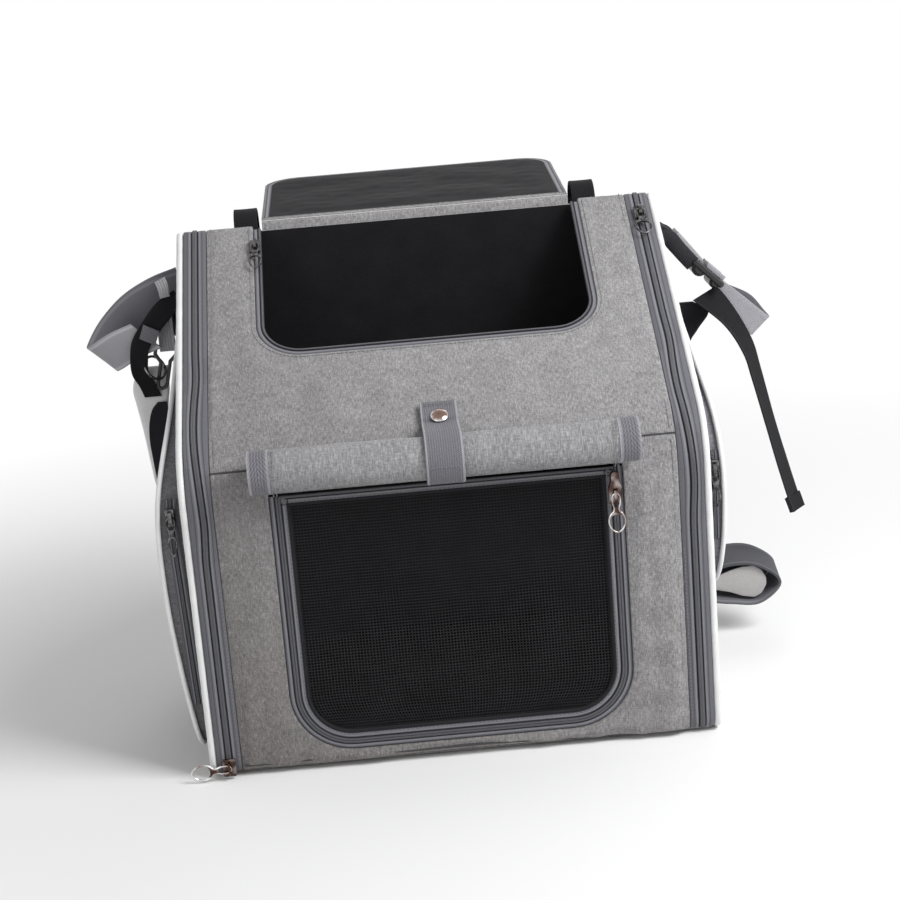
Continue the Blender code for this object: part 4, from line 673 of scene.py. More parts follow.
def makeHood(look):
    # puff and creases fade out at the cut and the borders, and below the roll's strap
    half, near, corner = look["cutHalf"], shape["slopeFrom"] + look["cutFront"], look["cutCorner"]
    far, low, tiny = backStart, seamAt + 0.00015, 1e-5
    cut = roundedLine([(-half, far), (half, far), (half, near), (-half, near)], [tiny, tiny, corner, corner])
    border = roundedLine([(-panelHalf, far), (panelHalf, far), (panelHalf, low), (-panelHalf, low)],
                         [tiny] * 4)
    inner, outer = [np.vstack([sideLine(np.roll(points, -1, axis=0), False, look["counts"]), [(-end, far)]])
                    for points, end in ((cut[0], half), (border[0], panelHalf))]
    x, s, fromCut, fromBorder = ringGrid(inner, outer, look["columns"])
    free = smoothStep(fromCut / 0.015) * smoothStep(fromBorder / 0.010) * smoothStep((far - s) / 0.02)
    free = free * (0.35 + 0.65 * smoothStep((fromCut - 0.010) / 0.012))
    clear = 1 - np.exp(-(x / 0.035) ** 2) * smoothStep((0.285 - s) / 0.02)
    clear = clear * smoothStep((s - 0.245) / 0.015)
    creases = ripple(x, s, look["wave"], 21, 1.6) * 0.8 + ripple(x, s, 0.018, 22, 2.5) * 0.22
    lift = free * clear * (look["puff"] + look["wrinkle"] * creases)
    return clothPanel("hoodPanel", x, s, hemmed(fromCut) + hemmed(fromBorder) - lift, "hood_panel")


hoodPanel = makeHood(hoodLook)


# Back and bottom: plain cloth along the profile
def makeStrip(name, low, high, rows, seed, node, puff):
    # the profile's stretch from low to high, full width, with a slow ripple
    edge = sideFace - 0.0001
    x, s = np.meshgrid(np.linspace(-edge, edge, 72), np.linspace(low, high, rows), indexing="ij")
    fromEdge = edge - np.abs(x)
    free = smoothStep(fromEdge / 0.02) * smoothStep((s - low) / 0.02) * smoothStep((high - s) / 0.02)
    lift = free * puff * (0.4 + 0.5 * ripple(x, s, 0.07, seed))
    return clothPanel(name, x, s, hemmed(fromEdge, drop=0.0009) - lift, node)


backPanel = makeStrip("backPanel", backStart + 0.0003, backEnd - 0.00015, 96, 31, "back_panel", 0.00015)
bottomPanel = makeStrip("bottomPanel", backEnd + 0.00015, profileEnd - 0.0003, 70, 32, "bottom_panel", 0.0)


# Side panels: columns of cloth from the profile's lower line to its upper one
def makeSide(name, sign, node):
    # y runs from front to back, closer together at both, and z from the ring's foot to its top at that y
    inset = wall + 0.0003
    ring = profile[0] + profile[1] * inset
    share = 0.5 - 0.5 * np.cos(np.linspace(0, math.pi, 60))
    y = (front + inset + 1e-5) * (1 - share) + (back - inset - 1e-5) * share
    foot, top = [np.interp(y, *half[np.argsort(half[:, 0], kind="stable")].T)
                 for half in (ring[ring[:, 1] < 0.1], ring[ring[:, 1] > 0.1])]
    rise = np.linspace(0, 1, 90)
    z = foot[:, None] * (1 - rise) + top[:, None] * rise
    wide = np.broadcast_to(y[:, None], z.shape)
    free = smoothStep((0.5 - np.abs(rise - 0.5)) * 12) * smoothStep((0.5 - np.abs(share - 0.5)) * 12)[:, None]
    lift = 0.0001 * free * ripple(wide, z, 0.06, 41)
    return slab(name, stacked(sign * (sideFace + lift), wide, z), stacked(sign * (sideFace - wall), wide, z),
                stacked(wide, z), [panelCloth, lining], slot="heather_fabric", replaces=[node])


leftSide, rightSide = [makeSide(side + "Side", sign, side + "_side_panel") for side, sign in sides]
print("panels made")

# Edge zips: tape with a closed coil between two grooves, its section carried up the profile
edgeZipLook = {"centre": 0.16875, "half": 0.0086, "coilHalf": 0.0022, "rise": 0.0008, "sway": 0.0019,
               "spacing": 0.0030}


def makeEdgeZip(name, sign, node, look):
    # the coil's line sways to and fro in an S over the bend
    s = np.arange(profileStart + 0.0001, backStart, look["spacing"])
    half, coil, up = look["half"], look["coilHalf"], look["rise"]
    left = [(-half, 0.0030), (-half, 0.0006), (-half + 0.0006, 0.0001), (-coil - 0.0012, 0.0),
            (-coil - 0.0004, 0.0002), (-coil, 0.0006), (-coil + 0.0004, -up * 0.5), (-coil * 0.5, -up)]
    section = np.array(left + [(0.0, -up * 0.8)] + [(-across, depth) for across, depth in left[::-1]])
    sway = look["sway"] * np.sin((s - 0.15) / 0.15 * 2 * math.pi) * smoothStep((s - 0.15) / 0.04)
    sway = sway * smoothStep((0.34 - s) / 0.05)
    near = np.clip(1 - np.abs(section[:, 0]) / half, 0, 1) ** 0.5
    x = sign * (look["centre"] + section[:, 0]) + sway[:, None] * near
    uv = stacked(np.append(section[:, 0], section[0, 0]), s[:, None])
    return tube(name, shell(x, s[:, None], section[:, 1]), uv, [zipTape], slot="zip_tape", replaces=[node])


for side, sign in sides:
    makeEdgeZip(side + "EdgeZip", sign, side + "_edge_zip", edgeZipLook)


# Piping: a covered cord round each side profile
def makePiping(name, sign, node, radius=0.0026, inset=0.0027):
    # a circle carried along the profile, its radius pulsing a little along the cord
    s = np.linspace(0, profile[2][-1], 420)[:-1] + profileStart
    turn = fullTurn(14)
    pulse = 1 + 0.02 * np.sin(s * 2 * math.pi / 0.019)
    x = sign * (sideFace + inset) + radius * np.cos(turn[:-1]) * pulse[:, None]
    depth = inset + radius * np.sin(turn[:-1]) * pulse[:, None]
    uv = stacked(turn * radius, np.append(s, profileEnd)[:, None])
    return tube(name, shell(x, s[:, None], depth), uv, [piping], closePath=True, slot="white_piping",
                replaces=[node])


for side, sign in sides:
    makePiping(side + "Piping", sign, side + "_piping")

# Window zip and door: sections carried along the window's line
windowLook = {"half": 0.1155, "sill": 0.0186, "corner": 0.038, "head": 0.2035,
              "tape": 0.0060, "coilHalf": 0.0022, "face": 0.0016, "rise": 0.0008, "parting": 0.00012}


def windowLine(look, closed):
    # all round the window, or without its head
    half, sill, head = look["half"], look["sill"], look["head"]
    arcs = roundedLine([(half, head), (half, sill), (-half, sill), (-half, head)],
                       [0.0002, look["corner"], look["corner"], 0.0002], 16)
    return walk(*arcs, closed=True) if closed else opened(arcs, 0)


def carried(name, line, section, finishes, spacing=0.0028, closed=False, middle=0.0, surface=shell, **more):
    # a closed section of (inset, depth) points carried along a line; its pattern is centred on the middle
    rows = evenly(line, spacing)
    point, normal = sampled(line, rows[:-1] if closed else rows)
    inset = section[:, 0]
    x = point[:, :1] + normal[:, :1] * inset
    s = point[:, 1:] + normal[:, 1:] * inset
    uv = stacked(np.append(inset, inset[0]) - middle, rows[:, None])
    return tube(name, surface(x, s, section[:, 1]), uv, finishes, closePath=closed, **more)


def halfZip(look, sign, rear):
    # half a zip: its coil rises beside the parting, a groove behind it, and then the flat tape
    start, coil, face, up, far = [look[key] for key in ("parting", "coilHalf", "face", "rise", "tape")]
    points = [(start, rear), (start, face - up * 0.75), (start + 0.0004, face - up),
              (coil - 0.0007, face - up * 0.9), (coil - 0.0002, face - up * 0.3),
              (coil + 0.0001, face + 0.0003),
              (coil + 0.0006, face), (far - 0.0005, face), (far, face + 0.0004), (far, rear)]
    return np.array([(sign * across, depth) for across, depth in points])


edgingSection = np.array([(0.0058, 0.0040), (0.0058, 0.0018), (0.0064, 0.0015), (0.0074, 0.0017),
                          (0.0082, 0.0026), (0.0082, 0.0040)])
openWindow, wholeWindow = windowLine(windowLook, False), windowLine(windowLook, True)
carried("windowZipTape", openWindow, halfZip(windowLook, -1, 0.0030), [zipTape], slot="zip_tape",
        replaces=["window_zip"])
carried("windowDoorTape", wholeWindow, halfZip(windowLook, 1, 0.0032), [zipTape], closed=True,
        body="window_door", slot="zip_tape", replaces=["window_frame"])
carried("netEdging", wholeWindow, edgingSection, [blackEdge], closed=True, body="window_door",
        slot="black_net")

# Net: a lattice of strands with square gaps, drawn in round its lower corners
netLook = {"half": 0.1115, "low": 0.0226, "high": 0.2004, "corner": 0.034, "pitch": 0.0022, "strand": 0.00072,
           "depth": 0.0036, "thick": 0.0006, "wave": 0.0004}


def drawnIn(rise, corner):
    # how far a rounded lower corner draws the border in at that height above its foot
    lift = np.maximum(corner - rise, 0)
    return corner - np.sqrt(np.maximum(corner ** 2 - lift ** 2, 0))


def makeNet(look):
    # a grid of strand and gap borders: the cells with a strand are kept, and walls close their open sides
    half, low, high = look["half"], look["low"], look["high"]

    def ticks(length):
        count = int(round(length / look["pitch"]))
        starts = np.arange(count + 1) * ((length - look["strand"]) / count)
        return np.stack([starts, starts + look["strand"]], -1).ravel()

    across, upward = ticks(2 * half) - half, ticks(high - low) + low
    u, v = np.meshgrid(across, upward, indexing="ij")
    x = u * (half - drawnIn(v - low, look["corner"])) / half
    depth = look["depth"] + look["wave"] * ripple(x, v, 0.05, 51)
    near = np.stack([x, front + depth, v], -1)
    far = near + np.array([0, look["thick"], 0])
    columns = len(upward)
    i, j = np.meshgrid(np.arange(len(across) - 1), np.arange(columns - 1), indexing="ij")
    solid = (i % 2 == 0) | (j % 2 == 0)
    base = i * columns + j
    cell = np.stack([base, base + columns, base + columns + 1, base + 1], -1)
    shift = len(across) * columns
    pad = np.pad(solid, 1)
    walls = []
    for di, dj, a, b in ((0, -1, 0, 1), (1, 0, 1, 2), (0, 1, 2, 3), (-1, 0, 3, 0)):
        beside = pad[1 + di:1 + di + solid.shape[0], 1 + dj:1 + dj + solid.shape[1]]
        chosen = cell[solid & ~beside]
        walls.append(np.stack([chosen[:, a], chosen[:, b], chosen[:, b] + shift, chosen[:, a] + shift], -1))
    quads = np.concatenate([cell[solid], cell[solid][:, ::-1] + shift, *walls])
    uv = np.stack([u, v], -1).reshape(-1, 2)
    points = np.concatenate([near.reshape(-1, 3), far.reshape(-1, 3)])
    return makePiece("windowNet", points, quads, uv[quads % shift], [netYarn], body="window_door",
                     slot="black_net", replaces=["window_net"], sharp=30.0)


windowNet = makeNet(netLook)

# Head opening: the fixed half zip on its edge, with the coil inwards
headLook = {"half": 0.1245, "front": 0.107, "corner": 0.034, "tape": 0.0060, "coilHalf": 0.0022,
            "face": 0.0008, "rise": 0.0008}


def slopeLine(half, near, far, corner):
    # a U on the slope, walked from its right end to its left end
    corners = [(-half, far), (half, far), (half, near), (-half, near)]
    return opened(roundedLine(corners, [1e-5, 1e-5, corner, corner], 16), 1)


def headSection(look):
    # flat tape from the cut's edge, and the coil at its inner edge
    coil, face, up, far = look["coilHalf"], look["face"], look["rise"], look["tape"]
    return np.array([(0.0003, 0.0030), (0.0003, face + 0.0003), (0.0008, face), (far - coil - 0.0006, face),
                     (far - coil - 0.0001, face + 0.0003), (far - coil + 0.0003, face - up * 0.4),
                     (far - 0.0012, face - up), (far - 0.0003, face - up * 0.8), (far + 0.0002, face),
                     (far + 0.0002, 0.0022), (far - 0.0005, 0.0026)])


headLine = slopeLine(headLook["half"], shape["slopeFrom"] + headLook["front"], backStart - 0.010,
                     headLook["corner"])
carried("headZipTape", headLine, headSection(headLook), [zipTape], middle=headLook["tape"], slot="zip_tape",
        replaces=["head_zip"])
print("zips made")

# Top door: cloth outside and lining inside, made closed and turned back about its hinge
doorLook = {"half": 0.1176, "front": 0.1139, "corner": 0.0271, "far": 0.2552, "tape": 0.0058,
            "hingeY": 0.1128, "hingeZ": 0.35844, "turnBack": 207.155, "sag": 0.0016, "thick": 0.0020,
            "cornerIn": 0.0050, "below": 0.0004, "slow": 0.0005, "fine": 0.00015}
doorSection = np.array([(0.0, 0.0019), (0.0, 0.0009), (0.0004, 0.0004), (0.0016, 0.0004), (0.0021, 0.0009),
                        (0.0026, 0.0011), (0.0058, 0.0011), (0.0058, 0.0019)])


def turnedBack(x, t, depth, look=doorLook):
    # a point over the slope, turned about the hinge's line through the angle that lays the door back
    points = onSlope(x, t, depth)
    turn = -math.radians(look["turnBack"])
    y, z = points[..., 1] - look["hingeY"], points[..., 2] - look["hingeZ"]
    return np.stack([points[..., 0], look["hingeY"] + y * math.cos(turn) - z * math.sin(turn),
                     look["hingeZ"] + y * math.sin(turn) + z * math.cos(turn)], -1)


def makeTopDoor(look):
    # rows go across and columns up the slope; the lower corners are drawn in, and the lining sags
    half, near = look["half"] - look["tape"], look["front"] + look["tape"]
    corner, below = look["corner"] - look["cornerIn"], look["below"]
    x, share = np.meshgrid(np.linspace(-1, 1, 74), np.linspace(0, 1, 60), indexing="ij")
    along = near + (look["far"] - near) * share
    wide = x * (half - drawnIn(along - near, corner))
    fromEdge = 1 - np.abs(x)
    free = smoothStep(fromEdge * 8) * smoothStep(share * 8) * smoothStep((1 - share) * 8)
    wave = ripple(wide, along, 0.07, 61) * look["slow"] + ripple(wide, along, 0.02, 62) * look["fine"]
    top = turnedBack(wide, along, below - free * (wave + 0.0002) + hemmed(fromEdge * half, 0.001, 0.0006))
    low = turnedBack(wide, along, below + look["thick"] + free * (look["sag"] * 0.4 - wave))
    return slab("topDoorPanel", top, low, stacked(wide, along), [panelCloth, lining], body="top_door",
                slot="heather_fabric", replaces=["top_door_panel", "top_door_lining"])


topDoor = makeTopDoor(doorLook)
carried("topDoorZipTape", slopeLine(doorLook["half"], doorLook["front"], doorLook["far"], doorLook["corner"]),
        doorSection, [zipTape], surface=turnedBack, body="top_door", slot="zip_tape",
        replaces=["top_door_zip"])


def makeHinge(look):
    # the door's bead with its tab, and the strip on the back panel whose tip takes it
    y, z = look["hingeY"], look["hingeZ"]
    angle = np.linspace(0.35, 2 * math.pi - 0.35, 14)
    bead = 0.0005
    section = np.concatenate([np.stack([-bead * np.cos(angle), bead * np.sin(angle)], -1),
                              [(-0.0044, -0.00022), (-0.0044, 0.00022)]])
    x = np.linspace(-look["half"], look["half"], 30)[:, None]
    hingeT = (y - front) * slopeCos + (z - bendHeight) * slopeSin
    hingeDepth = (y - front) * slopeSin - (z - bendHeight) * slopeCos
    tube("topDoorHinge", turnedBack(x, hingeT + section[:, 0], hingeDepth + section[:, 1]),
         stacked(x, np.arange(len(section) + 1) * 0.0004), [panelCloth], body="top_door",
         slot="heather_fabric", replaces=["top_door_hinge"])

    def fromHinge(reach, degrees):
        return (y + reach * math.cos(math.radians(degrees)), z + reach * math.sin(math.radians(degrees)))

    line = np.array([fromHinge(0.0008, 235.5), fromHinge(0.0008, 251.5), fromHinge(0.0032, 250),
                     (0.1111, z - 0.0044), (0.1114, z - 0.010), (0.1113, z - 0.028), (0.1109, z - 0.030),
                     (0.1103, z - 0.030), (0.1103, z - 0.0029), fromHinge(0.0030, 226)])
    tube("hingeStrip", stacked(x, line[:, 0], line[:, 1]), stacked(x, distances(np.vstack([line, line[:1]]))),
         [panelCloth], slot="heather_fabric", replaces=["hinge_strip"])


makeHinge(doorLook)
print("top door made")

# Rolled curtain: a spiral carried across, squeezed where the strap holds it; leave is where the strap leaves
# the hood
rollLook = {"centreY": -0.12093, "centreZ": 0.2242, "leave": (-0.06, 0.1973), "core": 0.0030, "outer": 0.0151,
            "turns": 3.25, "cloth": 0.0022, "half": 0.1183, "far": 0.1325, "steps": 44, "strap": 0.0174,
            "strapWide": 0.026, "strapThick": 0.0016, "tabLift": 0.0040, "endTurn": 52.0, "cut": 0.185,
            "slow": 0.010, "fine": 0.006, "pinch": 0.030, "pinchHalf": 0.022, "belly": 0.006,
            "bellyHalf": 0.13}
rollCentre = np.array([rollLook["centreY"], rollLook["centreZ"]])
leaveTurn = math.atan2(rollLook["leave"][1] - rollCentre[1], rollLook["leave"][0] - rollCentre[0])


def belly(x, look):
    # a cosine across: the roll is a little thicker in the middle than at its ends
    return 1 + look["belly"] * np.cos(x / look["bellyHalf"] * math.pi)


def spiralBand(look, x, grow, seed):
    # the cloth's outer and inner lines round the roll, one closed section at each x
    share = np.linspace(0, 1, int(look["turns"] * look["steps"]) + 1)
    radius = look["core"] + (look["outer"] - look["core"]) * share
    turn = leaveTurn + math.radians(look["endTurn"]) + 2 * math.pi * look["turns"] * (1 - share)
    half = look["cloth"] / 2
    around = turn * 0.016
    uneven = (ripple(x[:, None], around, 0.11, seed) * look["slow"]
              + ripple(x[:, None], around, 0.035, seed + 1) * look["fine"])
    pinch = 1 - look["pinch"] * np.exp(-(x[:, None] / look["pinchHalf"]) ** 4)
    puffed = pinch * (1 + uneven * smoothStep(share * 1.2)) * belly(x[:, None], look)
    outer = (radius + half) * puffed + grow
    inner = (radius - half) * puffed - grow * 0.5
    radial = np.concatenate([outer, inner[:, ::-1]], axis=1)
    turns = np.concatenate([turn, turn[::-1]])
    points = stacked(x[:, None], look["centreY"] + radial * np.cos(turns),
                     look["centreZ"] + radial * np.sin(turns))
    walked = share * look["cut"]
    return points, stacked(x[:, None], np.concatenate([walked, 0.19 + walked, [0.0]]))


def makeRoll(look):
    # the cloth between the bindings, and a binding a little larger over each end
    half, far = look["half"], look["far"]
    roll = tube("curtainRoll", *spiralBand(look, np.linspace(-half, half, 84), 0.0, 71), [rollCloth],
                slot="heather_fabric", replaces=["curtain_roll"])
    for side, sign in sides:
        points, uv = spiralBand(look, sign * np.linspace(half - 0.0004, far, 12), 0.00035, 71)
        tube(side + "RollBinding", points, uv - np.array([sign * (half + far) / 2, 0]), [bindingWeb],
             slot="grey_webbing", replaces=[side + "_roll_binding"])
    return roll


curtainRoll = makeRoll(rollLook)

# Webbing: a flat section with rounded edges, carried along stations of a middle and a width. The first half
# of its faces looks one way and the second half the other way
webEdge = [(-0.5, 0.0), (-0.49, 0.42), (-0.455, 0.5), (-0.3, 0.42), (0.0, 0.40), (0.3, 0.42), (0.455, 0.5),
           (0.49, 0.42)]
webSection = np.array(webEdge + [(-across, -up) for across, up in webEdge])
webSides = np.where(np.arange(16) < 8, 0, 1)


def webbing(name, middles, widths, thickness, finishes, slot="dark_webbing", **more):
    # the section spans the width vector and, across it, the normal of the strap
    up = unit(np.cross(np.gradient(middles, axis=0), widths))
    points = (middles[:, None] + widths[:, None] * webSection[:, :1]
              + up[:, None] * (webSection[:, 1:] * thickness))
    across = np.append(webSection[:, 0], -0.5) * np.linalg.norm(widths, axis=1)[:, None]
    return tube(name, points, stacked(across, distances(middles)[:, None]), finishes, slot=slot,
                finishOf=webSides if len(finishes) > 1 else None, sharp=60.0, **more)


def levelStrap(name, path, x, width, thickness, finish, node, **more):
    # a strap whose path of (y, z) keeps to one X, with its width along X
    middles = np.column_stack([np.full(len(path), x), path])
    widths = np.tile([width, 0, 0], (len(path), 1))
    return webbing(name, middles, widths, thickness, [finish], replaces=[node], **more)


def makeRollStrap(look):
    # round the roll, from where it leaves the hood to the roll's top, and on over the slope as the snap's tab
    turn = np.linspace(leaveTurn - math.radians(28), -1.5 * math.pi, 60)
    path = rollCentre + look["strap"] * np.stack([np.cos(turn), np.sin(turn)], -1)
    levelStrap("rollStrap", path, 0.0, look["strapWide"], look["strapThick"], greyWeb, "roll_strap",
               slot="grey_webbing")
    places = onSlope(0.0, np.array([0.0222, 0.0285, 0.036, 0.043]), -look["tabLift"])[:, 1:]
    start = rollCentre + np.array([0.0003, look["strap"]])
    levelStrap("snapTab", smoothed(np.vstack([start, places]), 8), 0.0, look["strapWide"], look["strapThick"],
               greyWeb, "snap_tab", slot="grey_webbing", body="snap_tab")


makeRollStrap(rollLook)
print("roll made")

# Pockets: cloth drawn out from the side panel to a piped rim, with a crowned face
pocketLooks = {
    "left": {"sign": -1, "foot": 0.016, "bulge": 0.024, "shares": (0.45, 0.78, 0.98, 0.92, 0.42, 0.12),
             "zip": (0.052, 0.205), "zipAt": ((0.0525, -0.1865), (0.1891, -0.1908), (0.2054, -0.1896)),
             "seed": 81},
    "right": {"sign": 1, "foot": 0.104, "bulge": 0.0158, "shares": (0.55, 0.95, 1.00, 0.82, 0.40, 0.16),
              "zip": (0.140, 0.205), "zipAt": ((0.14, 0.1856), (0.1891, 0.1865), (0.2054, 0.1861)),
              "seed": 83}}
pocketShape = {"front": -0.0955, "back": 0.068, "bend": 0.2173, "top": 0.3162, "corner": 0.026, "arc": 0.050,
               "crown": 0.0040, "wall": 0.0014, "base": 0.1778, "cord": 0.0018, "coil": 0.0013,
               "tape": 0.0042}


def makePocket(side, look, common):
    # rows go round the outline; columns climb the gusset, turn over the rim and run in to the face's middle
    sign, foot, base, corner = look["sign"], look["foot"], common["base"], common["corner"]
    near, far = common["front"], common["back"]
    line = walk(*roundedLine([(near, foot), (near, common["bend"]), (far, common["top"]), (far, foot)],
                             [corner, common["arc"], corner / 2, corner], 14), closed=True)
    around = np.linspace(0, line[2][-1], 161)
    point, normal = sampled(line, around[:-1])
    curve = smoothed(np.array(look["shares"])[:, None], 12)[:, 0]

    def rise(z):
        share = np.clip((z - foot) / (common["top"] - foot), 0, 1)
        return look["bulge"] * np.interp(share, np.linspace(0, 1, len(curve)), curve)

    middle = point.mean(axis=0)
    face = np.linspace(0, 1, 34)[1:]
    chord = rise(point[:, 1])
    climb = chord[:, None] * np.array([0.0, 0.2, 0.4, 0.6, 0.8, 0.95])
    steps = climb.shape[1]

    def surface(inset):
        rows = point + normal * inset
        inward = rows[:, None] + (middle - rows[:, None]) * (1 - (1 - face[None, :, None]) ** 1.15)
        height = rise(inward[..., 1]) * smoothStep(face * 8 + 0.55) + common["crown"] * (1 - (1 - face) ** 2)
        wave = (ripple(inward[..., 0], inward[..., 1], 0.05, look["seed"], 1.6) * 0.0009
                + ripple(inward[..., 0], inward[..., 1], 0.02, look["seed"] + 1) * 0.0003)
        flat = np.concatenate([np.repeat(rows[:, None], steps, axis=1), inward], axis=1)
        out = np.concatenate([climb, height + wave * smoothStep(face * 3) - inset], axis=1)
        return np.stack([sign * (base + out), flat[..., 0], flat[..., 1]], -1), inward

    outer, inward = surface(0.0)
    pattern = np.concatenate([stacked(around[:-1, None], climb), inward], axis=1)
    which = np.where(np.arange(outer.shape[1] - 1) < steps - 1, 2, 0)
    pocket = slab(side + "Pocket", outer, surface(common["wall"])[0], pattern,
                  [panelCloth, lining, gussetCloth], closeRows=True, rims=(0,), outside=which, weld=True,
                  slot="heather_fabric", replaces=[side + "_pocket"])

    # its piping is a circle carried round the rim
    turn, radius = fullTurn(12), common["cord"]
    rim = (point - normal * (radius + 0.0003))[:, None] - normal[:, None] * (radius * np.sin(turn[:-1, None]))
    ring = stacked(sign * (base + (chord - radius / 2)[:, None] + radius * np.cos(turn[:-1])), rim[..., 0],
                   rim[..., 1])
    tube(side + "PocketPiping", ring, stacked(turn * radius, around[:, None]), [piping], closePath=True,
         slot="white_piping", replaces=[side + "_pocket_piping"])

    # its zip goes up the front edge, at places across the gusset
    path, inward = sampled(line, np.linspace(0, line[2][-1], 900))
    keep = (path[:, 0] < near + 0.004) & (path[:, 1] > look["zip"][0]) & (path[:, 1] < look["zip"][1])
    path, inward = path[keep][::3, None], inward[keep][::3, None]
    centre = np.interp(path[..., 1], *np.array(look["zipAt"]).T)
    coil, half = common["coil"], common["tape"]
    lower = [(-half, 0.0), (-half, 0.0012), (-coil - 0.0005, 0.0014), (-coil, 0.0012),
             (-coil + 0.0004, 0.0020)]
    section = np.array(lower + [(-across, up) for across, up in lower[::-1]])
    flat = path - inward * section[:, 1:]
    tube(side + "PocketZipTape", stacked(centre + section[:, 0], flat[..., 0], flat[..., 1]),
         stacked(np.append(section[:, 0], section[0, 0]) * 1.6, path[..., 1]), [zipTape], slot="zip_tape",
         replaces=[side + "_pocket_zip"])
    return pocket


leftPocket, rightPocket = [makePocket(side, pocketLooks[side], pocketShape) for side, sign in sides]
print("pockets made")


# Straps: rows in millimetres, each a middle and a width vector, or a middle alone where one width serves all.
# Of two finishes the second is on the side that looks outwards
def alongBuckle(along, out, y=88.0):
    # a place along the buckle, and out from it, in millimetres
    turn = math.radians(45.3)
    return (217.5 + along * math.cos(turn) + out * math.sin(turn), y,
            294.5 - along * math.sin(turn) + out * math.cos(turn))


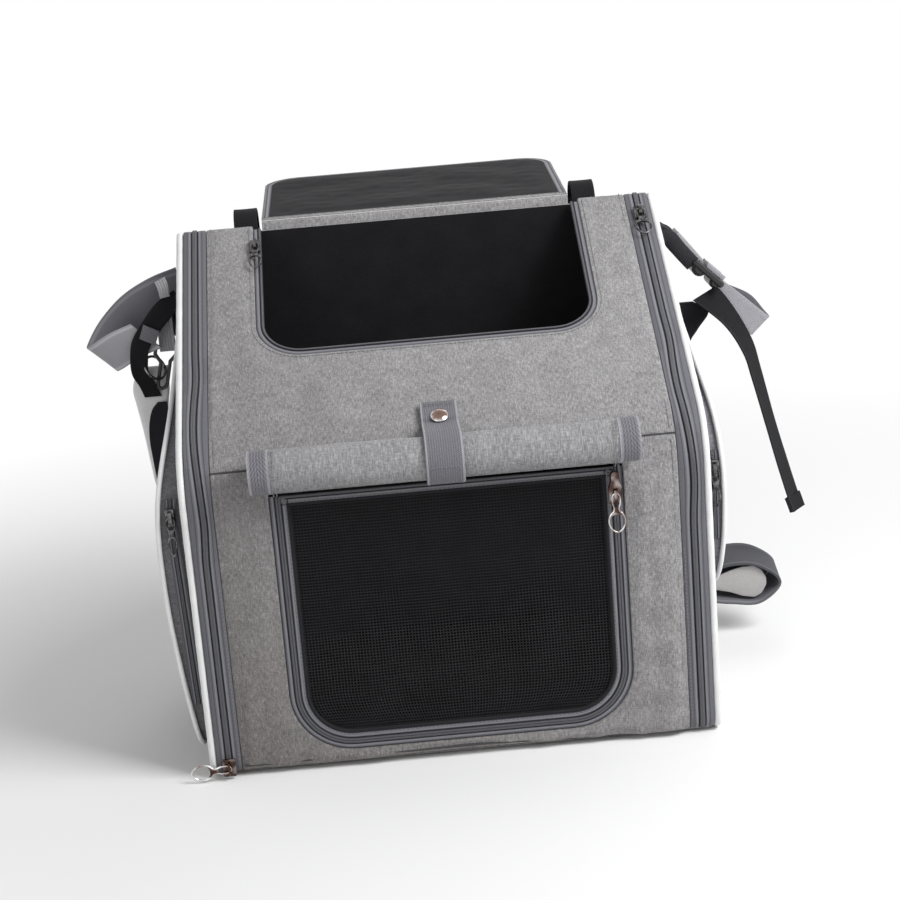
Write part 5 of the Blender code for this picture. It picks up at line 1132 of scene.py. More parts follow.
strapTable = {
    "leftStrapLoop": {"replaces": ["left_strap_loop"], "finishes": [innerWeb, paleWeb], "rows": [
        (-183.9, 99.2, 313.5, 3.5, 0, -34), (-203.0, 99.6, 308.0, 9, 0, -31),
        (-222.0, 100.0, 298.0, 15, 0, -27), (-238.0, 98.3, 283.0, 20, 0, -22),
        (-247.7, 91.7, 267.9, 21.5, 0, -20.5), (-244.5, 84.7, 268.4, 21.5, 0, -20.5),
        (-229.1, 79.2, 277.4, 21.5, 0, -20.5), (-211.6, 77.2, 283.9, 21.5, 0, -20.5)]},
    "rightAnchor": {"replaces": ["right_anchor"], "width": (0, 25, 0), "rows": [
        (178.7, 88.0, 318.0), (178.7, 88.0, 327.0), (183.0, 88.0, 332.5), (190.5, 88.0, 328.0),
        (206.9, 88.0, 305.8)]},
    "rightStrapTail": {"replaces": ["right_strap_tail"], "rows": [
        (215.1, 80.0, 278.7, 20.7, 11.9, 7.5), (233.2, 80.0, 258.4, 11.5, 20.7, 8.0),
        (246.3, 80.0, 234.3, 10.6, 21.9, 5.6), (252.4, 80.0, 212.0, 10.5, 22.4, 3.4),
        (262.2, 80.0, 170.8, 10.0, 22.7, 1.8), (270.7, 80.0, 137.2, 10.8, 22.4, 0.6),
        (281.0, 80.0, 99.4, 11.4, 22.1, -1.0)]},
    "rightStrapLoop": {"replaces": ["right_strap_loop"], "finishes": [innerWeb, paleWeb],
                       "width": (-14.6, 0, -13.8), "rows": [
        (223.2, 94.0, 278.8), (241.7, 94.0, 262.2), (255.7, 95.5, 249.1), (260.7, 100.5, 245.1),
        (257.7, 105.5, 249.1), (247.2, 107.0, 262.2), (228.1, 106.5, 272.7)]},
    "lowerStrapLoop": {"replaces": ["lower_strap_loop"], "finishes": [slateWeb, innerWeb],
                       "width": (0, 28.6, 8.2), "per": 12, "rows": [
        (177.9, 89.3, 51.1), (202.5, 89.3, 56.0), (225.5, 89.3, 62.3), (247.5, 89.3, 59.6),
        (264.9, 89.3, 44.5), (248.3, 89.3, 29.0), (225.5, 89.3, 30.3), (202.5, 89.3, 34.1),
        (177.9, 89.3, 37.1)]},
    # left side: a black strap comes down over the loop on to the pad, with a ribbed keeper and a folded tab
    "leftBlackStrap": {"rows": [
        (-183.0, 74.0, 312.0, -7.7, 0, 11.6), (-195.0, 73.0, 304.0, -11.0, 0, 11.0),
        (-206.5, 73.0, 291.5, -11.8, 0, 9.4), (-216.0, 74.0, 278.5, -12.6, 0, 6.4),
        (-218.8, 75.2, 267.0, -13.6, 0, 1.5), (-219.8, 81.5, 254.0, -13, 0, 0),
        (-216.0, 87.4, 243.0, -13, 0, 0), (-213.0, 87.4, 234.0, -13, 0, 0)]},
    "leftKeeper": {"finishes": [greyWeb], "thick": 0.0020, "width": (4.2, 0, 10.6), "rows": [
        (-214.2, 71.4, 288.6), (-208.5, 71.2, 285.6), (-202.8, 71.4, 282.6)]},
    "leftFold": {"finishes": [tabWeb], "thick": 0.0032, "rows": [
        (-196.2, 71.5, 327.0, 7.6, 0, 3.4), (-194.3, 70.9, 321.5, 8.0, 0, 3.4),
        (-193.4, 71.5, 313.5, 7.6, 0, 1.4)]},
    "leftSideStrap": {"rows": [
        (-183.4, 103.8, 316.0, 10.0, 0, 0), (-184.4, 103.8, 290.0, 11.0, 0, 0),
        (-185.2, 103.8, 262.0, 12.0, 0, 0), (-184.0, 103.8, 236.0, 10.5, 0, 0),
        (-182.6, 103.8, 214.0, 7.5, 0, 0)]},
    "leftPadSide": {"finishes": [padBack], "thick": 0.0010, "slot": "pad_fabric", "rows": [
        (-206.9, 88.7, 229.0, 7.0, 0, 0), (-209.1, 88.7, 223.0, 12.5, 0, 0),
        (-211.5, 88.7, 212.0, 14.5, 0, 0), (-213.6, 88.7, 199.4, 12.6, 0, 0),
        (-214.8, 88.7, 187.4, 9.2, 0, 0), (-215.7, 88.7, 175.3, 5.8, 0, 0),
        (-216.2, 88.7, 167.2, 3.5, 0, 0)]},
    "leftPadStrap": {"rows": [
        (-210.6, 93.2, 192.0, 17, 0, 0), (-210.6, 93.2, 178.0, 16, 0, 0), (-206.0, 93.2, 160.0, 15, 3, 3),
        (-194.5, 93.2, 139.0, 9, 12, 5), (-183.0, 93.2, 122.0, 3, 17, 3), (-179.2, 93.2, 110.0, 0, 18, 0),
        (-179.0, 93.2, 96.0, 0, 18, 0)]},
    # right side: the anchor's doubled webbing, the strips laced over the buckle and the tail's hem
    "anchorDoubling": {"thick": 0.0118, "width": (0, 26, 0), "rows": [
        (181.4, 88.0, 325.5), (188.6, 88.0, 324.6), (196.4, 88.0, 314.4), (206.3, 88.0, 302.3)]},
    "upperStrip": {"finishes": [paleWeb], "thick": 0.0038, "width": (0, 22, 0), "rows": [
        (195.4, 88.0, 326.4), (201.8, 88.0, 318.4), (207.4, 88.0, 311.2), (212.6, 88.0, 304.4)]},
    "lowerStrip": {"finishes": [paleWeb], "thick": 0.0038, "width": (0, 22, 0), "rows": [
        alongBuckle(-4.4, 4.3), alongBuckle(4, 4.5), alongBuckle(13, 4.7)]},
    "tailHem": {"thick": 0.0042, "rows": [
        (277.4, 80.0, 111.0, 13.6, 22, -1.4), (279.4, 80.0, 104.8, 13.6, 22, -1.8),
        (281.2, 80.0, 98.9, 13.6, 22, -1.8)]}}


def makeStrap(name, look):
    # smooth curves through the rows' middles and widths
    rows = np.array(look["rows"], float)
    if "width" in look:
        rows = np.hstack([rows, np.tile(np.array(look["width"], float), (len(rows), 1))])
    curve = smoothed(rows / 1000, look.get("per", 10))
    return webbing(name, curve[:, :3], curve[:, 3:], look.get("thick", 0.0018),
                   look.get("finishes", [darkWeb]), look.get("slot", "dark_webbing"),
                   replaces=look.get("replaces", ()))


straps = {name: makeStrap(name, look) for name, look in strapTable.items()}


def makeBarrel(name, centre, radius, half):
    # a bar across the buckle: a circle carried along Y, rounded at both ends
    share = np.linspace(-1, 1, 15)[:, None]
    turn = fullTurn(20)
    size = radius * (1 - np.maximum(np.abs(share) - 0.85, 0) ** 2 * 18)
    x, y, z = np.array(centre) / 1000
    return tube(name, stacked(x + size * np.cos(turn[:-1]), y + half * share, z + size * np.sin(turn[:-1])),
                stacked(turn * radius, half * share), [plastic], slot="black_plastic")


makeBarrel("buckleBarrel", alongBuckle(-7.4, -1.6), 0.0060, 0.0145)
makeBarrel("buckleBar", alongBuckle(9.0, -2.0), 0.0044, 0.0142)

# Inside the lower loop: a teardrop of light lining in front and a dark layer that closes the loop behind it
loopGap = {"x": (0.1985, 0.2025, 0.2255, 0.2475, 0.2649), "z": (0.0450, 0.0450, 0.0463, 0.0443, 0.0445),
           "plane": 0.0886, "tilt": 0.287}
loopTongue = {"near": 0.0790, "x": (0.2030, 0.2210, 0.2350, 0.2445, 0.2505, 0.2540),
              "half": (0.0020, 0.0076, 0.0122, 0.0130, 0.0096, 0.0030)}
loopBacking = {"near": 0.0996, "x": (0.1930, 0.2025, 0.2255, 0.2475, 0.2560, 0.2605),
               "half": (0.0092, 0.0102, 0.0147, 0.0139, 0.0100, 0.0045)}


def makeLoopLayer(name, look, finish):
    # a thin slab in the loop's gap: the gap's middle height rises with depth, as the strap is tilted
    x = np.linspace(look["x"][0], look["x"][-1], 40)[:, None]
    side = np.linspace(-1, 1, 17)
    middle = np.interp(x, loopGap["x"], loopGap["z"]) + (look["near"] - loopGap["plane"]) * loopGap["tilt"]
    z = middle + np.interp(x, look["x"], look["half"]) * side
    crown = 0.0010 * (1 - side ** 2)
    return slab(name, stacked(x, look["near"] - crown, z), stacked(x, look["near"] + 0.0014 + crown, z),
                stacked(x, z), [finish], slot="dark_webbing")


makeLoopLayer("loopTongue", loopTongue, loopLining)
makeLoopLayer("loopBacking", loopBacking, slateWeb)

# Handlebar straps: sewn flat down the back panel, and round the bar's place
barLook = {"x": 0.130, "lane": 0.1112, "radius": 0.0169, "height": 0.348, "sewn": 0.085, "end": 142.0,
           "wide": 0.018, "thick": 0.0018}


def makeBarStrap(name, x, node, look):
    # a straight run up the lane, then a circle
    lane, radius, height = look["lane"], look["radius"], look["height"]
    turn = np.linspace(math.pi, -math.radians(look["end"]), 50)
    low = stacked(lane, np.linspace(height - look["sewn"], height - 0.003, 14))
    loop = np.stack([lane + radius + radius * np.cos(turn), height + radius * np.sin(turn)], -1)
    return levelStrap(name, np.concatenate([low, loop]), x, look["wide"], look["thick"], darkWeb, node)


for side, sign in sides:
    makeBarStrap(side + "BarStrap", sign * barLook["x"], side + "_bar_strap", barLook)

# The left anchor: a strap folded over itself, layer on layer
anchorLook = {"x": -0.1793, "y": 0.089, "low": 0.2815, "high": 0.3105, "layers": 5, "gap": 0.0026,
              "wide": 0.018, "thick": 0.0017}


def makeLeftAnchor(look):
    # the fold goes down and up in hairpins, each a layer further out
    x, low, high, gap, layers = [look[key] for key in ("x", "low", "high", "gap", "layers")]
    path = []
    for k in range(layers):
        up = k % 2 == 0
        ends = (low + 0.0012, high - 0.0012) if up else (high - 0.0012, low + 0.0012)
        path += [(x - k * gap, z) for z in (ends[0], (ends[0] + ends[1]) / 2, ends[1])]
        if k < layers - 1:
            path.append((x - (k + 0.5) * gap, high if up else low))
    path = smoothed(np.array(path), 6)
    return webbing("leftAnchor", stacked(path[:, 0], look["y"], path[:, 1]), np.tile([0, look["wide"], 0],
                   (len(path), 1)), look["thick"], [darkWeb], replaces=["left_anchor"])


makeLeftAnchor(anchorLook)

# Hook tab: a narrow strap hanging in a fold
hookTabLook = {"x": -0.1972, "y": 0.0845, "half": 0.0029, "fold": 0.2713, "top": 0.2956, "wide": 0.012,
               "thick": 0.0012}


def makeHookTab(look):
    # down in front, round a half circle and up behind
    plane, half, fold = look["y"], look["half"], look["fold"]
    turn = np.linspace(math.pi, 2 * math.pi, 16)
    bow = np.stack([plane + half * np.cos(turn), fold + 0.0012 + half * np.sin(turn)], -1)
    down = stacked(plane - half, np.linspace(look["top"], fold + 0.002, 8))
    path = np.concatenate([down, bow, down[::-1] + np.array([2 * half, 0])])
    return levelStrap("hookTab", path, look["x"], look["wide"], look["thick"], tabWeb, "hook_tab",
                      slot="grey_webbing")


makeHookTab(hookTabLook)

# Shoulder pads: crowned both sides, with a bound edge; rows of x, z and width in millimetres
padTable = {
    "left": [(-209.9, 256.5, 20.5), (-213.1, 247.3, 26.3), (-214.4, 237.9, 28.2), (-214.7, 228.4, 25.2),
             (-214.9, 217.2, 21.5), (-215.6, 204.4, 16.9), (-216.5, 192.3, 12.7), (-217.2, 179.4, 8.9),
             (-217.7, 168.9, 5.8), (-218.0, 161.5, 3.1)],
    "right": [(192.8, 270.0, 30.0), (198.7, 261.3, 41.8), (194.1, 247.8, 32.7), (190.4, 235.0, 25.2),
              (186.8, 200.1, 18.0), (186.8, 150.0, 18.0)]}


padShape = {"y": 0.0932, "thick": 0.0042, "quilt": 0.06, "quiltPitch": 0.034, "fullness": (0.55, 0.85)}


def signedPower(value, power):
    return np.sign(value) * np.abs(value) ** power


def makePad(side, finishes, seed):
    # rows run down the pad, columns go round its section, which is thickest in the middle
    line = smoothed(np.array(padTable[side]) / 1000, 12)
    share = np.linspace(0, 1, len(line))
    end = np.sqrt(np.clip(1 - (1 - np.clip(np.minimum(share, 1 - share) * 14, 0, 1)) ** 2, 0.02, 1))
    turn = fullTurn(32)[:-1]
    quilt = 1 + padShape["quilt"] * np.sin(line[:, 1] * 2 * math.pi / padShape["quiltPitch"])
    across, through = [signedPower(part, power) for part, power in
                       zip((np.cos(turn), np.sin(turn)), padShape["fullness"])]
    x = line[:, :1] + across * line[:, 2:] / 2
    y = padShape["y"] + through * padShape["thick"] * end[:, None] * quilt[:, None]
    y = y + 0.0002 * ripple(x, line[:, 1:2], 0.03, seed)
    uv = stacked(np.concatenate([x, x[:, :1]], 1), line[:, 1:2])
    rear = np.where(np.sin(turn) > 0.0, 1, 0)
    pad = tube(side + "Pad", stacked(x, y, line[:, 1:2]), uv, finishes, finishOf=rear, slot="pad_fabric",
               replaces=[side + "_pad"], sharp=70.0)
    return pad


leftPad = makePad("left", [padShell, padBack], 91)
rightPad = makePad("right", [padBack, padBack], 92)
print("straps and pads made")

# Floor cushion: a crowned pad, swollen by cloth simulation
cushionLook = {"side": 0.1683, "front": -0.1008, "back": 0.1008, "low": 0.0073, "high": 0.0288,
               "crown": 0.006, "voxel": 0.006, "pressure": 4.0, "cap": 0.0045, "frames": 20}


def makeCushion(look):
    # a superellipse across and along gives the pad's half height over each point of its plan
    u, v = np.meshgrid(fullTurn(96)[:-1], np.linspace(-math.pi / 2, math.pi / 2, 33), indexing="ij")
    wide, deep = look["side"] - 0.004, (look["back"] - look["front"]) / 2 - 0.004
    x = wide * signedPower(np.cos(u), 0.30) * signedPower(np.cos(v), 0.35)
    y = deep * signedPower(np.sin(u), 0.30) * signedPower(np.cos(v), 0.35)
    y = (look["front"] + look["back"]) / 2 + y
    middle, half = (look["low"] + look["high"]) / 2, (look["high"] - look["low"]) / 2 - 0.002
    lift = np.maximum(np.sin(v), 0) * look["crown"] * (1 - (x / wide) ** 2) * (1 - (y / deep) ** 2)
    z = middle + half * signedPower(np.sin(v), 0.6) + np.maximum(lift, 0)
    uv = np.stack([np.vstack([x, x[:1]]), np.vstack([y, y[:1]])], -1).reshape(-1, 2)
    cushion = makePiece("floorCushion", np.stack([x, y, z], -1), gridQuads(96, 33, True),
                        uv[gridQuads(96, 33, True, width=33)], [plush], slot="cushion_plush",
                        replaces=["floor_cushion"], weld=True)
    swell(cushion, look)
    return cushion


def swell(piece, look):
    # voxel remesh, then cloth under pressure without weight; the move of each point is capped
    remesh = piece.modifiers.new("remesh", "REMESH")
    remesh.mode = "VOXEL"
    remesh.voxel_size = look["voxel"]
    graph = bpy.context.evaluated_depsgraph_get()
    mesh = bpy.data.meshes.new_from_object(piece.evaluated_get(graph))
    piece.modifiers.clear()
    start = np.empty(len(mesh.vertices) * 3)
    mesh.vertices.foreach_get("co", start)
    start = start.reshape(-1, 3)
    work = bpy.data.objects.new("cushionWork", mesh.copy())
    scene.collection.objects.link(work)
    cloth = work.modifiers.new("cloth", "CLOTH")
    cloth.settings.use_pressure = True
    cloth.settings.uniform_pressure_force = look["pressure"]
    cloth.settings.quality = 5
    cloth.settings.effector_weights.gravity = 0
    for number in range(1, look["frames"] + 1):
        scene.frame_set(number)
    graph = bpy.context.evaluated_depsgraph_get()
    swollen = work.evaluated_get(graph).to_mesh()
    end = np.empty(len(swollen.vertices) * 3)
    swollen.vertices.foreach_get("co", end)
    move = end.reshape(-1, 3) - start
    size = np.linalg.norm(move, axis=1, keepdims=True)
    result = start + move * np.minimum(1, look["cap"] / np.maximum(size, 1e-9))
    result = np.clip(result, (-look["side"], look["front"], look["low"]),
                     (look["side"], look["back"], np.inf))
    bpy.data.objects.remove(work, do_unlink=True)
    mesh.vertices.foreach_set("co", result.ravel())
    mesh.materials.clear()
    mesh.materials.append(plush)
    mesh.shade_smooth()
    piece.data = mesh
    smooth = piece.modifiers.new("smooth", "SUBSURF")
    smooth.levels = 1
    smooth.render_levels = 1
    scene.frame_set(1)


makeCushion(cushionLook)
print("cushion made")


# Hard pieces keep their solids and take a finish
def dress(finish, *names):
    for name in names:
        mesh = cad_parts[name].data
        mesh.materials.clear()
        mesh.materials.append(finish)


dress(chrome, "snap_stud")
dress(darkChromePaintedReflections, "window_slider", "left_edge_slider")
dress(gunmetal, "right_edge_slider", "head_slider", "left_pocket_slider", "right_pocket_slider", "strap_ring")
dress(plastic, "right_buckle", "snap_hook")
dress(board, "base_board")

# Zip pulls: a wire bent to an eye, a waist and a wide bow, with a plate across the waist. A row is a share of
# the half length, with a half width in metres for the eye and a share of the half breadth for the bow
pullLook = {"rim": 0.00125, "plate": 0.0005, "breadth": 0.0034,
            "eye": [(-1.0, 0.0006), (-0.94, 0.0023), (-0.82, 0.0033), (-0.52, 0.00335), (-0.38, 0.0027),
                    (-0.25, 0.0023)],
            "bow": [(-0.08, 0.52), (0.10, 0.76), (0.36, 1.0), (0.62, 0.95), (0.82, 0.72), (0.94, 0.42),
                    (1.0, 0.06)]}


def makePull(name, node, slider, finish, look):
    # the solid's points give the pull's middle and its three axes, the longest of them away from the slider
    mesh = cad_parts[node].data
    places = np.empty(len(mesh.vertices) * 3)
    mesh.vertices.foreach_get("co", places)
    places = places.reshape(-1, 3)
    middle = places.mean(axis=0)
    axes = np.linalg.svd(places - middle, full_matrices=False)[2]
    spread = (places - middle) @ axes.T
    low, high = spread.min(axis=0), spread.max(axis=0)
    centre = middle + ((low + high) / 2) @ axes
    reach = (high - low) / 2
    away = (middle - np.mean(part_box(slider), axis=0)) @ axes[0]
    long = axes[0] * (1 if away > 0 else -1)
    wide, thin = axes[1], axes[2]
    rim = min(look["rim"], reach[2])
    breadth = max(reach[1], look["breadth"])
    outline = np.array([(share * reach[0], half) for share, half in look["eye"]]
                       + [(share * reach[0], half * breadth) for share, half in look["bow"]])
    outline = outline - np.sign(outline) * rim * (np.abs(outline) > rim)
    half = smoothed(outline, 5)
    path = np.concatenate([half, half[::-1] * np.array([1, -1])])
    outward = np.roll(path, -1, axis=0) - np.roll(path, 1, axis=0)
    outward = unit(np.stack([-outward[:, 1], outward[:, 0]], -1))
    section = fullTurn(12)
    flat = path[:, None] + outward[:, None] * (rim * np.cos(section[:-1]))[None, :, None]
    height = np.broadcast_to(rim * np.sin(section[:-1]), flat.shape[:2])
    points = centre + flat[..., :1] * long + flat[..., 1:] * wide + height[..., None] * thin
    uv = stacked(section * rim, np.arange(len(path) + 1)[:, None] * 0.001)
    tube(name, points, uv, [finish], closePath=True, body=node, slot="chrome", replaces=[node])

    # the plate fills the waist, its far edge bowed
    share = np.linspace(-0.34, 0.22, 20)[:, None]
    side = np.linspace(-1, 1, 11)
    halfWidth = np.interp(share, outline[:, 0] / reach[0], outline[:, 1])
    bow = share * reach[0] - 0.16 * reach[0] * (1 - side ** 2) * smoothStep((share + 0.1) / 0.3)
    face = centre + bow[..., None] * long + (side * halfWidth)[..., None] * wide
    thick = (look["plate"] + 0.0002 * (1 - side ** 2))[None, :, None] * thin
    slab(name + "Plate", face + thick, face - thick, stacked(share * reach[0], side * reach[1]),
         [darkChromePaintedReflections if finish is chrome else finish], body=node, slot="chrome")


for label, word, finish in (("window", "window", chrome), ("leftEdge", "left_edge", chrome),
                            ("rightEdge", "right_edge", gunmetal), ("head", "head", gunmetal),
                            ("leftPocket", "left_pocket", gunmetal),
                            ("rightPocket", "right_pocket", gunmetal)):
    makePull(label + "Pull", word + "_pull", word + "_slider", finish, pullLook)


# The window slider's long nose: a body tapering up the coil
def makeNose():
    # rows climb from the slider's head; the section is a low arch, waisted towards the top
    share = np.linspace(0, 1, 22)[:, None]
    turn = fullTurn(24)[:-1]
    low, high = [np.array(corner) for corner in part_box("window_slider")]
    middle, size = (low + high) / 2, (high - low) / 2
    waist = 0.94 - 0.30 * share + 0.10 * np.cos(share * 2 * math.pi)
    x = middle[0] + size[0] * waist * np.sqrt(1.02 - share ** 6) * signedPower(np.cos(turn), 0.6)
    y = middle[1] + size[1] * (0.85 - 0.25 * share) * signedPower(np.sin(turn), 0.6)
    return tube("sliderNose", stacked(x, y, high[2] - 0.0012 + 0.0118 * share),
                stacked(np.linspace(0, 0.02, 25), share * 0.012), [darkChromePaintedReflections], body="window_slider",
                slot="chrome", sharp=50.0)


makeNose()

# The snap's cap: a dome with a rolled rim, turned about the slope's normal; rings of radius and height shares
snapLook = {"t": 0.0285, "radius": 0.00625, "base": 0.0048, "rise": 0.0030,
            "rings": [(0.0, 1.0), (0.25, 0.97), (0.5, 0.88), (0.72, 0.72), (0.86, 0.54), (0.93, 0.46),
                      (0.98, 0.40), (1.0, 0.28), (0.98, 0.14), (0.93, 0.05), (0.5, 0.0), (0.0, 0.0)]}


def makeSnapCap(look):
    # rings go out from the crown over the rim and in underneath
    ring = np.array(look["rings"])
    turn = fullTurn(40)[:-1]
    radius, height = ring[:, :1] * look["radius"], look["base"] + ring[:, 1:] * look["rise"]
    points = onSlope(radius * np.cos(turn), look["t"] + radius * np.sin(turn), -height)
    quads = gridQuads(len(ring), 40, False, True)
    uv = stacked(radius, turn * 0.004).reshape(-1, 2)[quads]
    return makePiece("snapCap", points, quads, uv, [capMetal], body="snap_tab", slot="chrome",
                     replaces=["snap_cap"], weld=True, sharp=60.0)


makeSnapCap(snapLook)


# Seams: a thin dark welt half sunk in the cloth, its colour painted shade for the seam's groove, along a line
# on the body that sways a little
seamLook = {"bend": {"ends": (-0.1597, 0.1597), "radius": 0.0008, "depth": 0.0004},
            "foot": {"ends": (-0.158, 0.150), "radius": 0.0007, "depth": -0.0010, "height": 0.0082,
                     "drop": 0.0040}, "sway": 0.0003}


def makeSeam(name, x, s, radius, depth):
    # a small circle carried along the line of x and s
    turn = fullTurn(8)
    slant = unit(np.stack([-np.gradient(s), np.gradient(x)], -1))
    across = radius * np.cos(turn[:-1])
    points = shell(x[:, None] + slant[:, :1] * across, s[:, None] + slant[:, 1:] * across,
                   depth - radius * np.sin(turn[:-1]))
    uv = stacked(turn * radius, distances(np.stack([x, s], -1))[:, None])
    return tube(name, points, uv, [seamGrooveShade], slot="heather_fabric")


bend, foot = seamLook["bend"], seamLook["foot"]
bendX = np.linspace(*bend["ends"], 160)
bendS = seamAt + seamLook["sway"] * np.sin(bendX * 40)
makeSeam("bendSeam", bendX, bendS, bend["radius"], bend["depth"])
footX = np.linspace(*foot["ends"], 120)
footS = foot["height"] - foot["drop"] * smoothStep((footX + 0.02) / 0.16)
footS = footS + seamLook["sway"] * np.sin(footX * 55)
makeSeam("footSeam", footX, footS, foot["radius"], foot["depth"])

# Stitches: small six-faced beads set end to end along a path of places and outward normals
stitchLook = {"pitch": 0.0030, "length": 0.0022, "width": 0.00048, "height": 0.00030, "inset": 0.0034,
              "tape": 0.0072, "window": 0.0092, "door": -0.0050, "head": 0.0030, "sunk": -0.0004}
beadCorners = np.array([(-1, -1, -1), (-1, 1, -1), (1, 1, -1), (1, -1, -1), (-0.7, -0.6, 1), (-0.7, 0.6, 1),
                        (0.7, 0.6, 1), (0.7, -0.6, 1)]) * (stitchLook["length"] / 2, stitchLook["width"] / 2,
                                                           stitchLook["height"])
beadFaces = np.array([(0, 1, 2, 3), (4, 7, 6, 5), (0, 4, 5, 1), (1, 5, 6, 2), (2, 6, 7, 3), (3, 7, 4, 0)])


def makeStitches(name, places, outward, body="carrier", slot="heather_fabric"):
    # evenly spaced middles along the path, each bead lying along it and standing a little proud
    length = distances(places)
    at = np.arange(stitchLook["pitch"] / 2, length[-1], stitchLook["pitch"])
    run = unit(readAt(at + 0.0005, length, places) - readAt(at - 0.0005, length, places))
    up = unit(readAt(at, length, outward))
    side = unit(np.cross(run, up))
    points = (readAt(at, length, places)[:, None] + beadCorners[:, :1] * run[:, None]
              + beadCorners[:, 1:2] * side[:, None] + beadCorners[:, 2:] * up[:, None])
    quads = (np.arange(len(at))[:, None, None] * 8 + beadFaces).reshape(-1, 4)
    uv = (np.tile(beadCorners[:, :2], (len(at), 1)) + np.repeat(at, 8)[:, None] * (0, 1))[quads]
    return makePiece(name, points, quads, uv, [thread], body=body, slot=slot)


def shellStitches(name, x, s, depth, body="carrier"):
    # stitches on the body itself, whose outward normal is read from the profile
    places = shell(x, s, depth)
    return makeStitches(name, places, unit(shell(x, s, depth - 0.01) - places), body)


def lineStitches(name, line, out, depth, body="carrier"):
    # stitches beside a line on the body, a fixed way outside it
    point, normal = sampled(line, np.linspace(0, line[2][-1], 500))
    flat = point - normal * out
    return shellStitches(name, flat[:, 0], flat[:, 1], depth, body)


for side, sign in sides:
    panelX = sign * (panelHalf - stitchLook["inset"])
    shellStitches(side + "FrontStitches", panelX, np.linspace(0.012, seamAt - 0.004, 200),
                  stitchLook["sunk"])
    shellStitches(side + "HoodStitches", panelX, np.linspace(seamAt + 0.004, backStart - 0.004, 220),
                  stitchLook["sunk"])
    shellStitches(side + "TapeStitches", sign * (edgeZipLook["centre"] - stitchLook["tape"]),
                  np.linspace(0.012, 0.14, 160), 0.0)

lineStitches("windowStitches", openWindow, stitchLook["window"], -0.0002)
lineStitches("doorStitches", wholeWindow, stitchLook["door"], windowLook["face"] - 0.0001, "window_door")
lineStitches("headStitches", headLine, stitchLook["head"], stitchLook["sunk"])


def rollStitches(name, turn, radius, x, **more):
    # on the roll, at angles round its middle; outward is away from that middle
    outward = np.stack([np.zeros_like(turn), np.cos(turn), np.sin(turn)], -1)
    places = outward * radius + np.array([0, *rollCentre])
    places[:, 0] = x
    return makeStitches(name, places, outward, **more)


# rows round the roll's outside, from under the hood to its lower front
for side, sign in sides:
    for word, x in (("Outer", 0.1168), ("Inner", 0.1146)):
        radius = rollLook["outer"] + rollLook["cloth"] / 2 + 0.00035
        radius = radius * belly(x, rollLook)
        turn = np.linspace(math.radians(100), math.radians(300), 90)
        rollStitches(side + "RollSeam" + word, turn, radius, sign * x)


def tabStitches(low=math.radians(186), high=math.radians(232), half=0.0098, end=0.0108):
    # a sewn box on the strap's front over the roll, and two rows across the tab's end
    turns = np.concatenate([np.linspace(low, high, 20), np.full(16, high), np.linspace(high, low, 20),
                            np.full(17, low)])
    across = np.concatenate([np.full(20, -half), np.linspace(-half, half, 16), np.full(20, half),
                             np.linspace(half, -half, 17)])
    rollStitches("strapBoxStitches", turns, rollLook["strap"] + 0.0008, across, slot="grey_webbing")
    up = np.tile([0, -slopeSin, slopeCos], (30, 1))
    for number, t in ((1, 0.0405), (2, 0.0390)):
        places = onSlope(np.linspace(-end, end, 30), t, -0.0049)
        makeStitches("tabStitches%d" % number, places, up, "snap_tab", "grey_webbing")


tabStitches()


def barStitches(name, centre, half=0.0068, low=0.2660, high=0.2880):
    # a box with a cross in it, on each bar strap's sewn foot
    corners = np.array([(-half, low), (half, low), (half, high), (-half, high), (-half, low), (half, high),
                        (half, low), (-half, high)])
    flat = np.concatenate([np.linspace(a, b, 14)[:-1] for a, b in zip(corners[:-1], corners[1:])])
    places = stacked(centre + flat[:, 0], barLook["lane"] + 0.00085, flat[:, 1])
    return makeStitches(name, places, np.tile([0.0, 1.0, 0.0], (len(flat), 1)), slot="dark_webbing")


for side, sign in sides:
    barStitches(side + "BarStitches", sign * barLook["x"])
print("stitches made")


# What each cloth piece was cut to, before it was sewn
def cutSize(piece, width, length, held="stretched", **more):
    return piece


cutSize(frontPanel, 0.320, 0.2203, area=0.0236)
cutSize(hoodPanel, 0.320, 0.256, area=0.0445)
cutSize(backPanel, 0.355, 0.349)
cutSize(bottomPanel, 0.355, 0.205)
cutSize(leftSide, 0.213, 0.352, area=0.0600)
cutSize(rightSide, 0.213, 0.352, area=0.0600)
cutSize(curtainRoll, 0.237, 0.185, held="folded")
cutSize(topDoor, 0.2236, 0.1355)
cutSize(windowNet, 0.223, 0.178)
cutSize(leftPocket, 0.200, 0.310, area=0.056)
cutSize(rightPocket, 0.190, 0.225, area=0.0336)
tailPath = smoothed(np.array(strapTable["rightStrapTail"]["rows"])[:, :3] / 1000, 4)
tailLength = float(distances(tailPath)[-1])

# Floor and light: each lamp has a place, the height of its target, a size and a power
stageLook = {"fade": (0.36, 0.95), "floor": 0.92, "world": 0.40,
             "lamps": {"keyLamp": ((1.0, -0.68, 1.28), 0.2, 0.8, 25.0),
                       "fillLamp": ((-1.2, -1.5, 0.8), 0.2, 1.2, 4.0),
                       "rimLamp": ((0.3, 1.5, 1.3), 0.25, 1.0, 5.0)}}


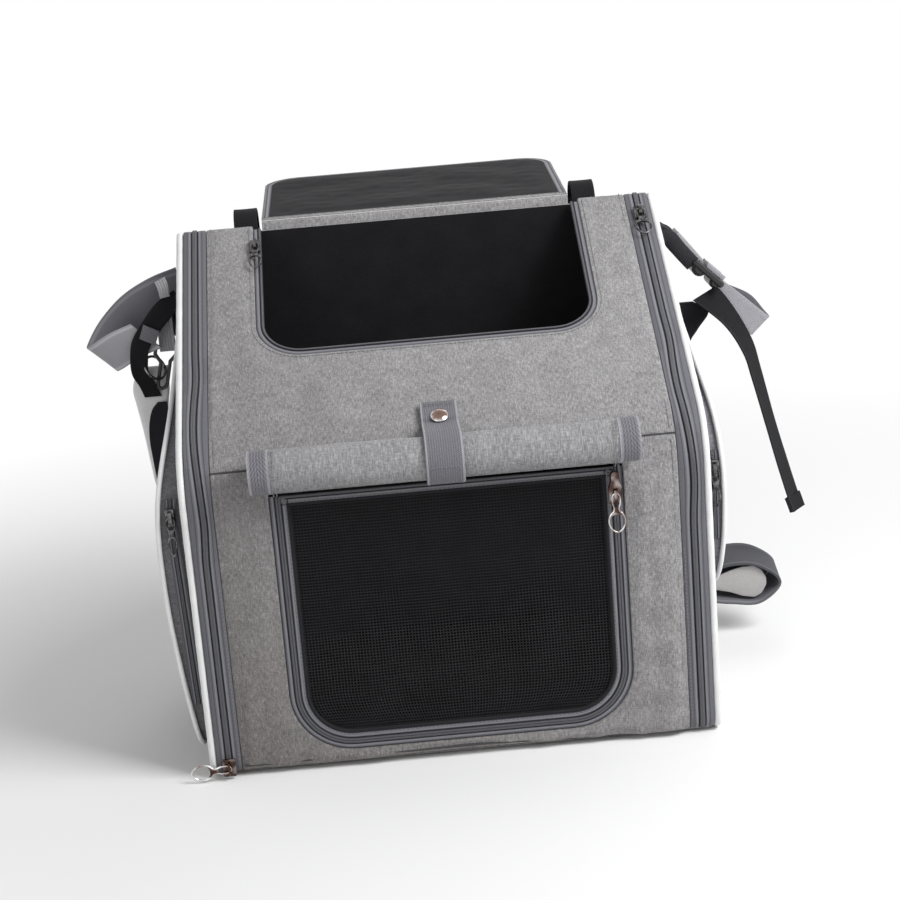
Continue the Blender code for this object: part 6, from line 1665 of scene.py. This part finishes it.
def seenDirectly(tree):
    # 1 for the camera's own rays and for those through glass or off gloss
    paths = tree.nodes.new("ShaderNodeLightPath")
    camera, glossy, through = [Wire(tree, paths.outputs["Is %s Ray" % word])
                               for word in ("Camera", "Glossy", "Transmission")]
    return (camera + glossy + through).clamped()


def makeStage(look):
    # a wide disc whose cloth-white fades into the backdrop's white away from the object
    bpy.ops.mesh.primitive_circle_add(vertices=96, radius=6.0, fill_type="NGON", location=(0, 0, -0.0004))
    floor = bpy.context.object
    floor.name = "studioFloor"
    finish = bpy.data.materials.new("studioFloor")
    finish.use_nodes = True
    tree = finish.node_tree
    shader = tree.nodes["Principled BSDF"]
    shader.inputs["Base Color"].default_value = (look["floor"],) * 3 + (1.0,)
    shader.inputs["Roughness"].default_value = 0.9
    w = Wire(tree)
    place = w.node("ShaderNodeTexCoord", None, None, 3)
    away = w.node("ShaderNodeVectorMath", {"operation": "LENGTH"}, {0: place}, 1)
    near, far = look["fade"]
    share = ((away - near) / (far - near)).clamped() * seenDirectly(tree)
    glow = w.node("ShaderNodeEmission", None, {"Color": (1.0, 1.0, 1.0, 1.0), "Strength": 1.0})
    both = w.node("ShaderNodeMixShader", None, {0: share, 1: Wire(tree, shader.outputs[0]), 2: glow})
    tree.links.new(both.socket, tree.nodes["Material Output"].inputs["Surface"])
    floor.data.materials.append(finish)
    world = bpy.data.worlds.new("studio")
    scene.world = world
    world.use_nodes = True
    background = world.node_tree.nodes["Background"]
    strength = seenDirectly(world.node_tree) * (1.0 - look["world"]) + look["world"]
    background.inputs["Color"].default_value = (1.0, 1.0, 1.0, 1.0)
    world.node_tree.links.new(strength.socket, background.inputs["Strength"])


def addLamp(name, place, height, size, power):
    data = bpy.data.lights.new(name, "AREA")
    data.size = size
    data.energy = power
    lamp = bpy.data.objects.new(name, data)
    lamp.location = place
    lamp.rotation_euler = (Vector((0, 0, height)) - Vector(place)).to_track_quat("-Z", "Y").to_euler()
    scene.collection.objects.link(lamp)


makeStage(stageLook)
for name, settings in stageLook["lamps"].items():
    addLamp(name, *settings)
print("stage made")
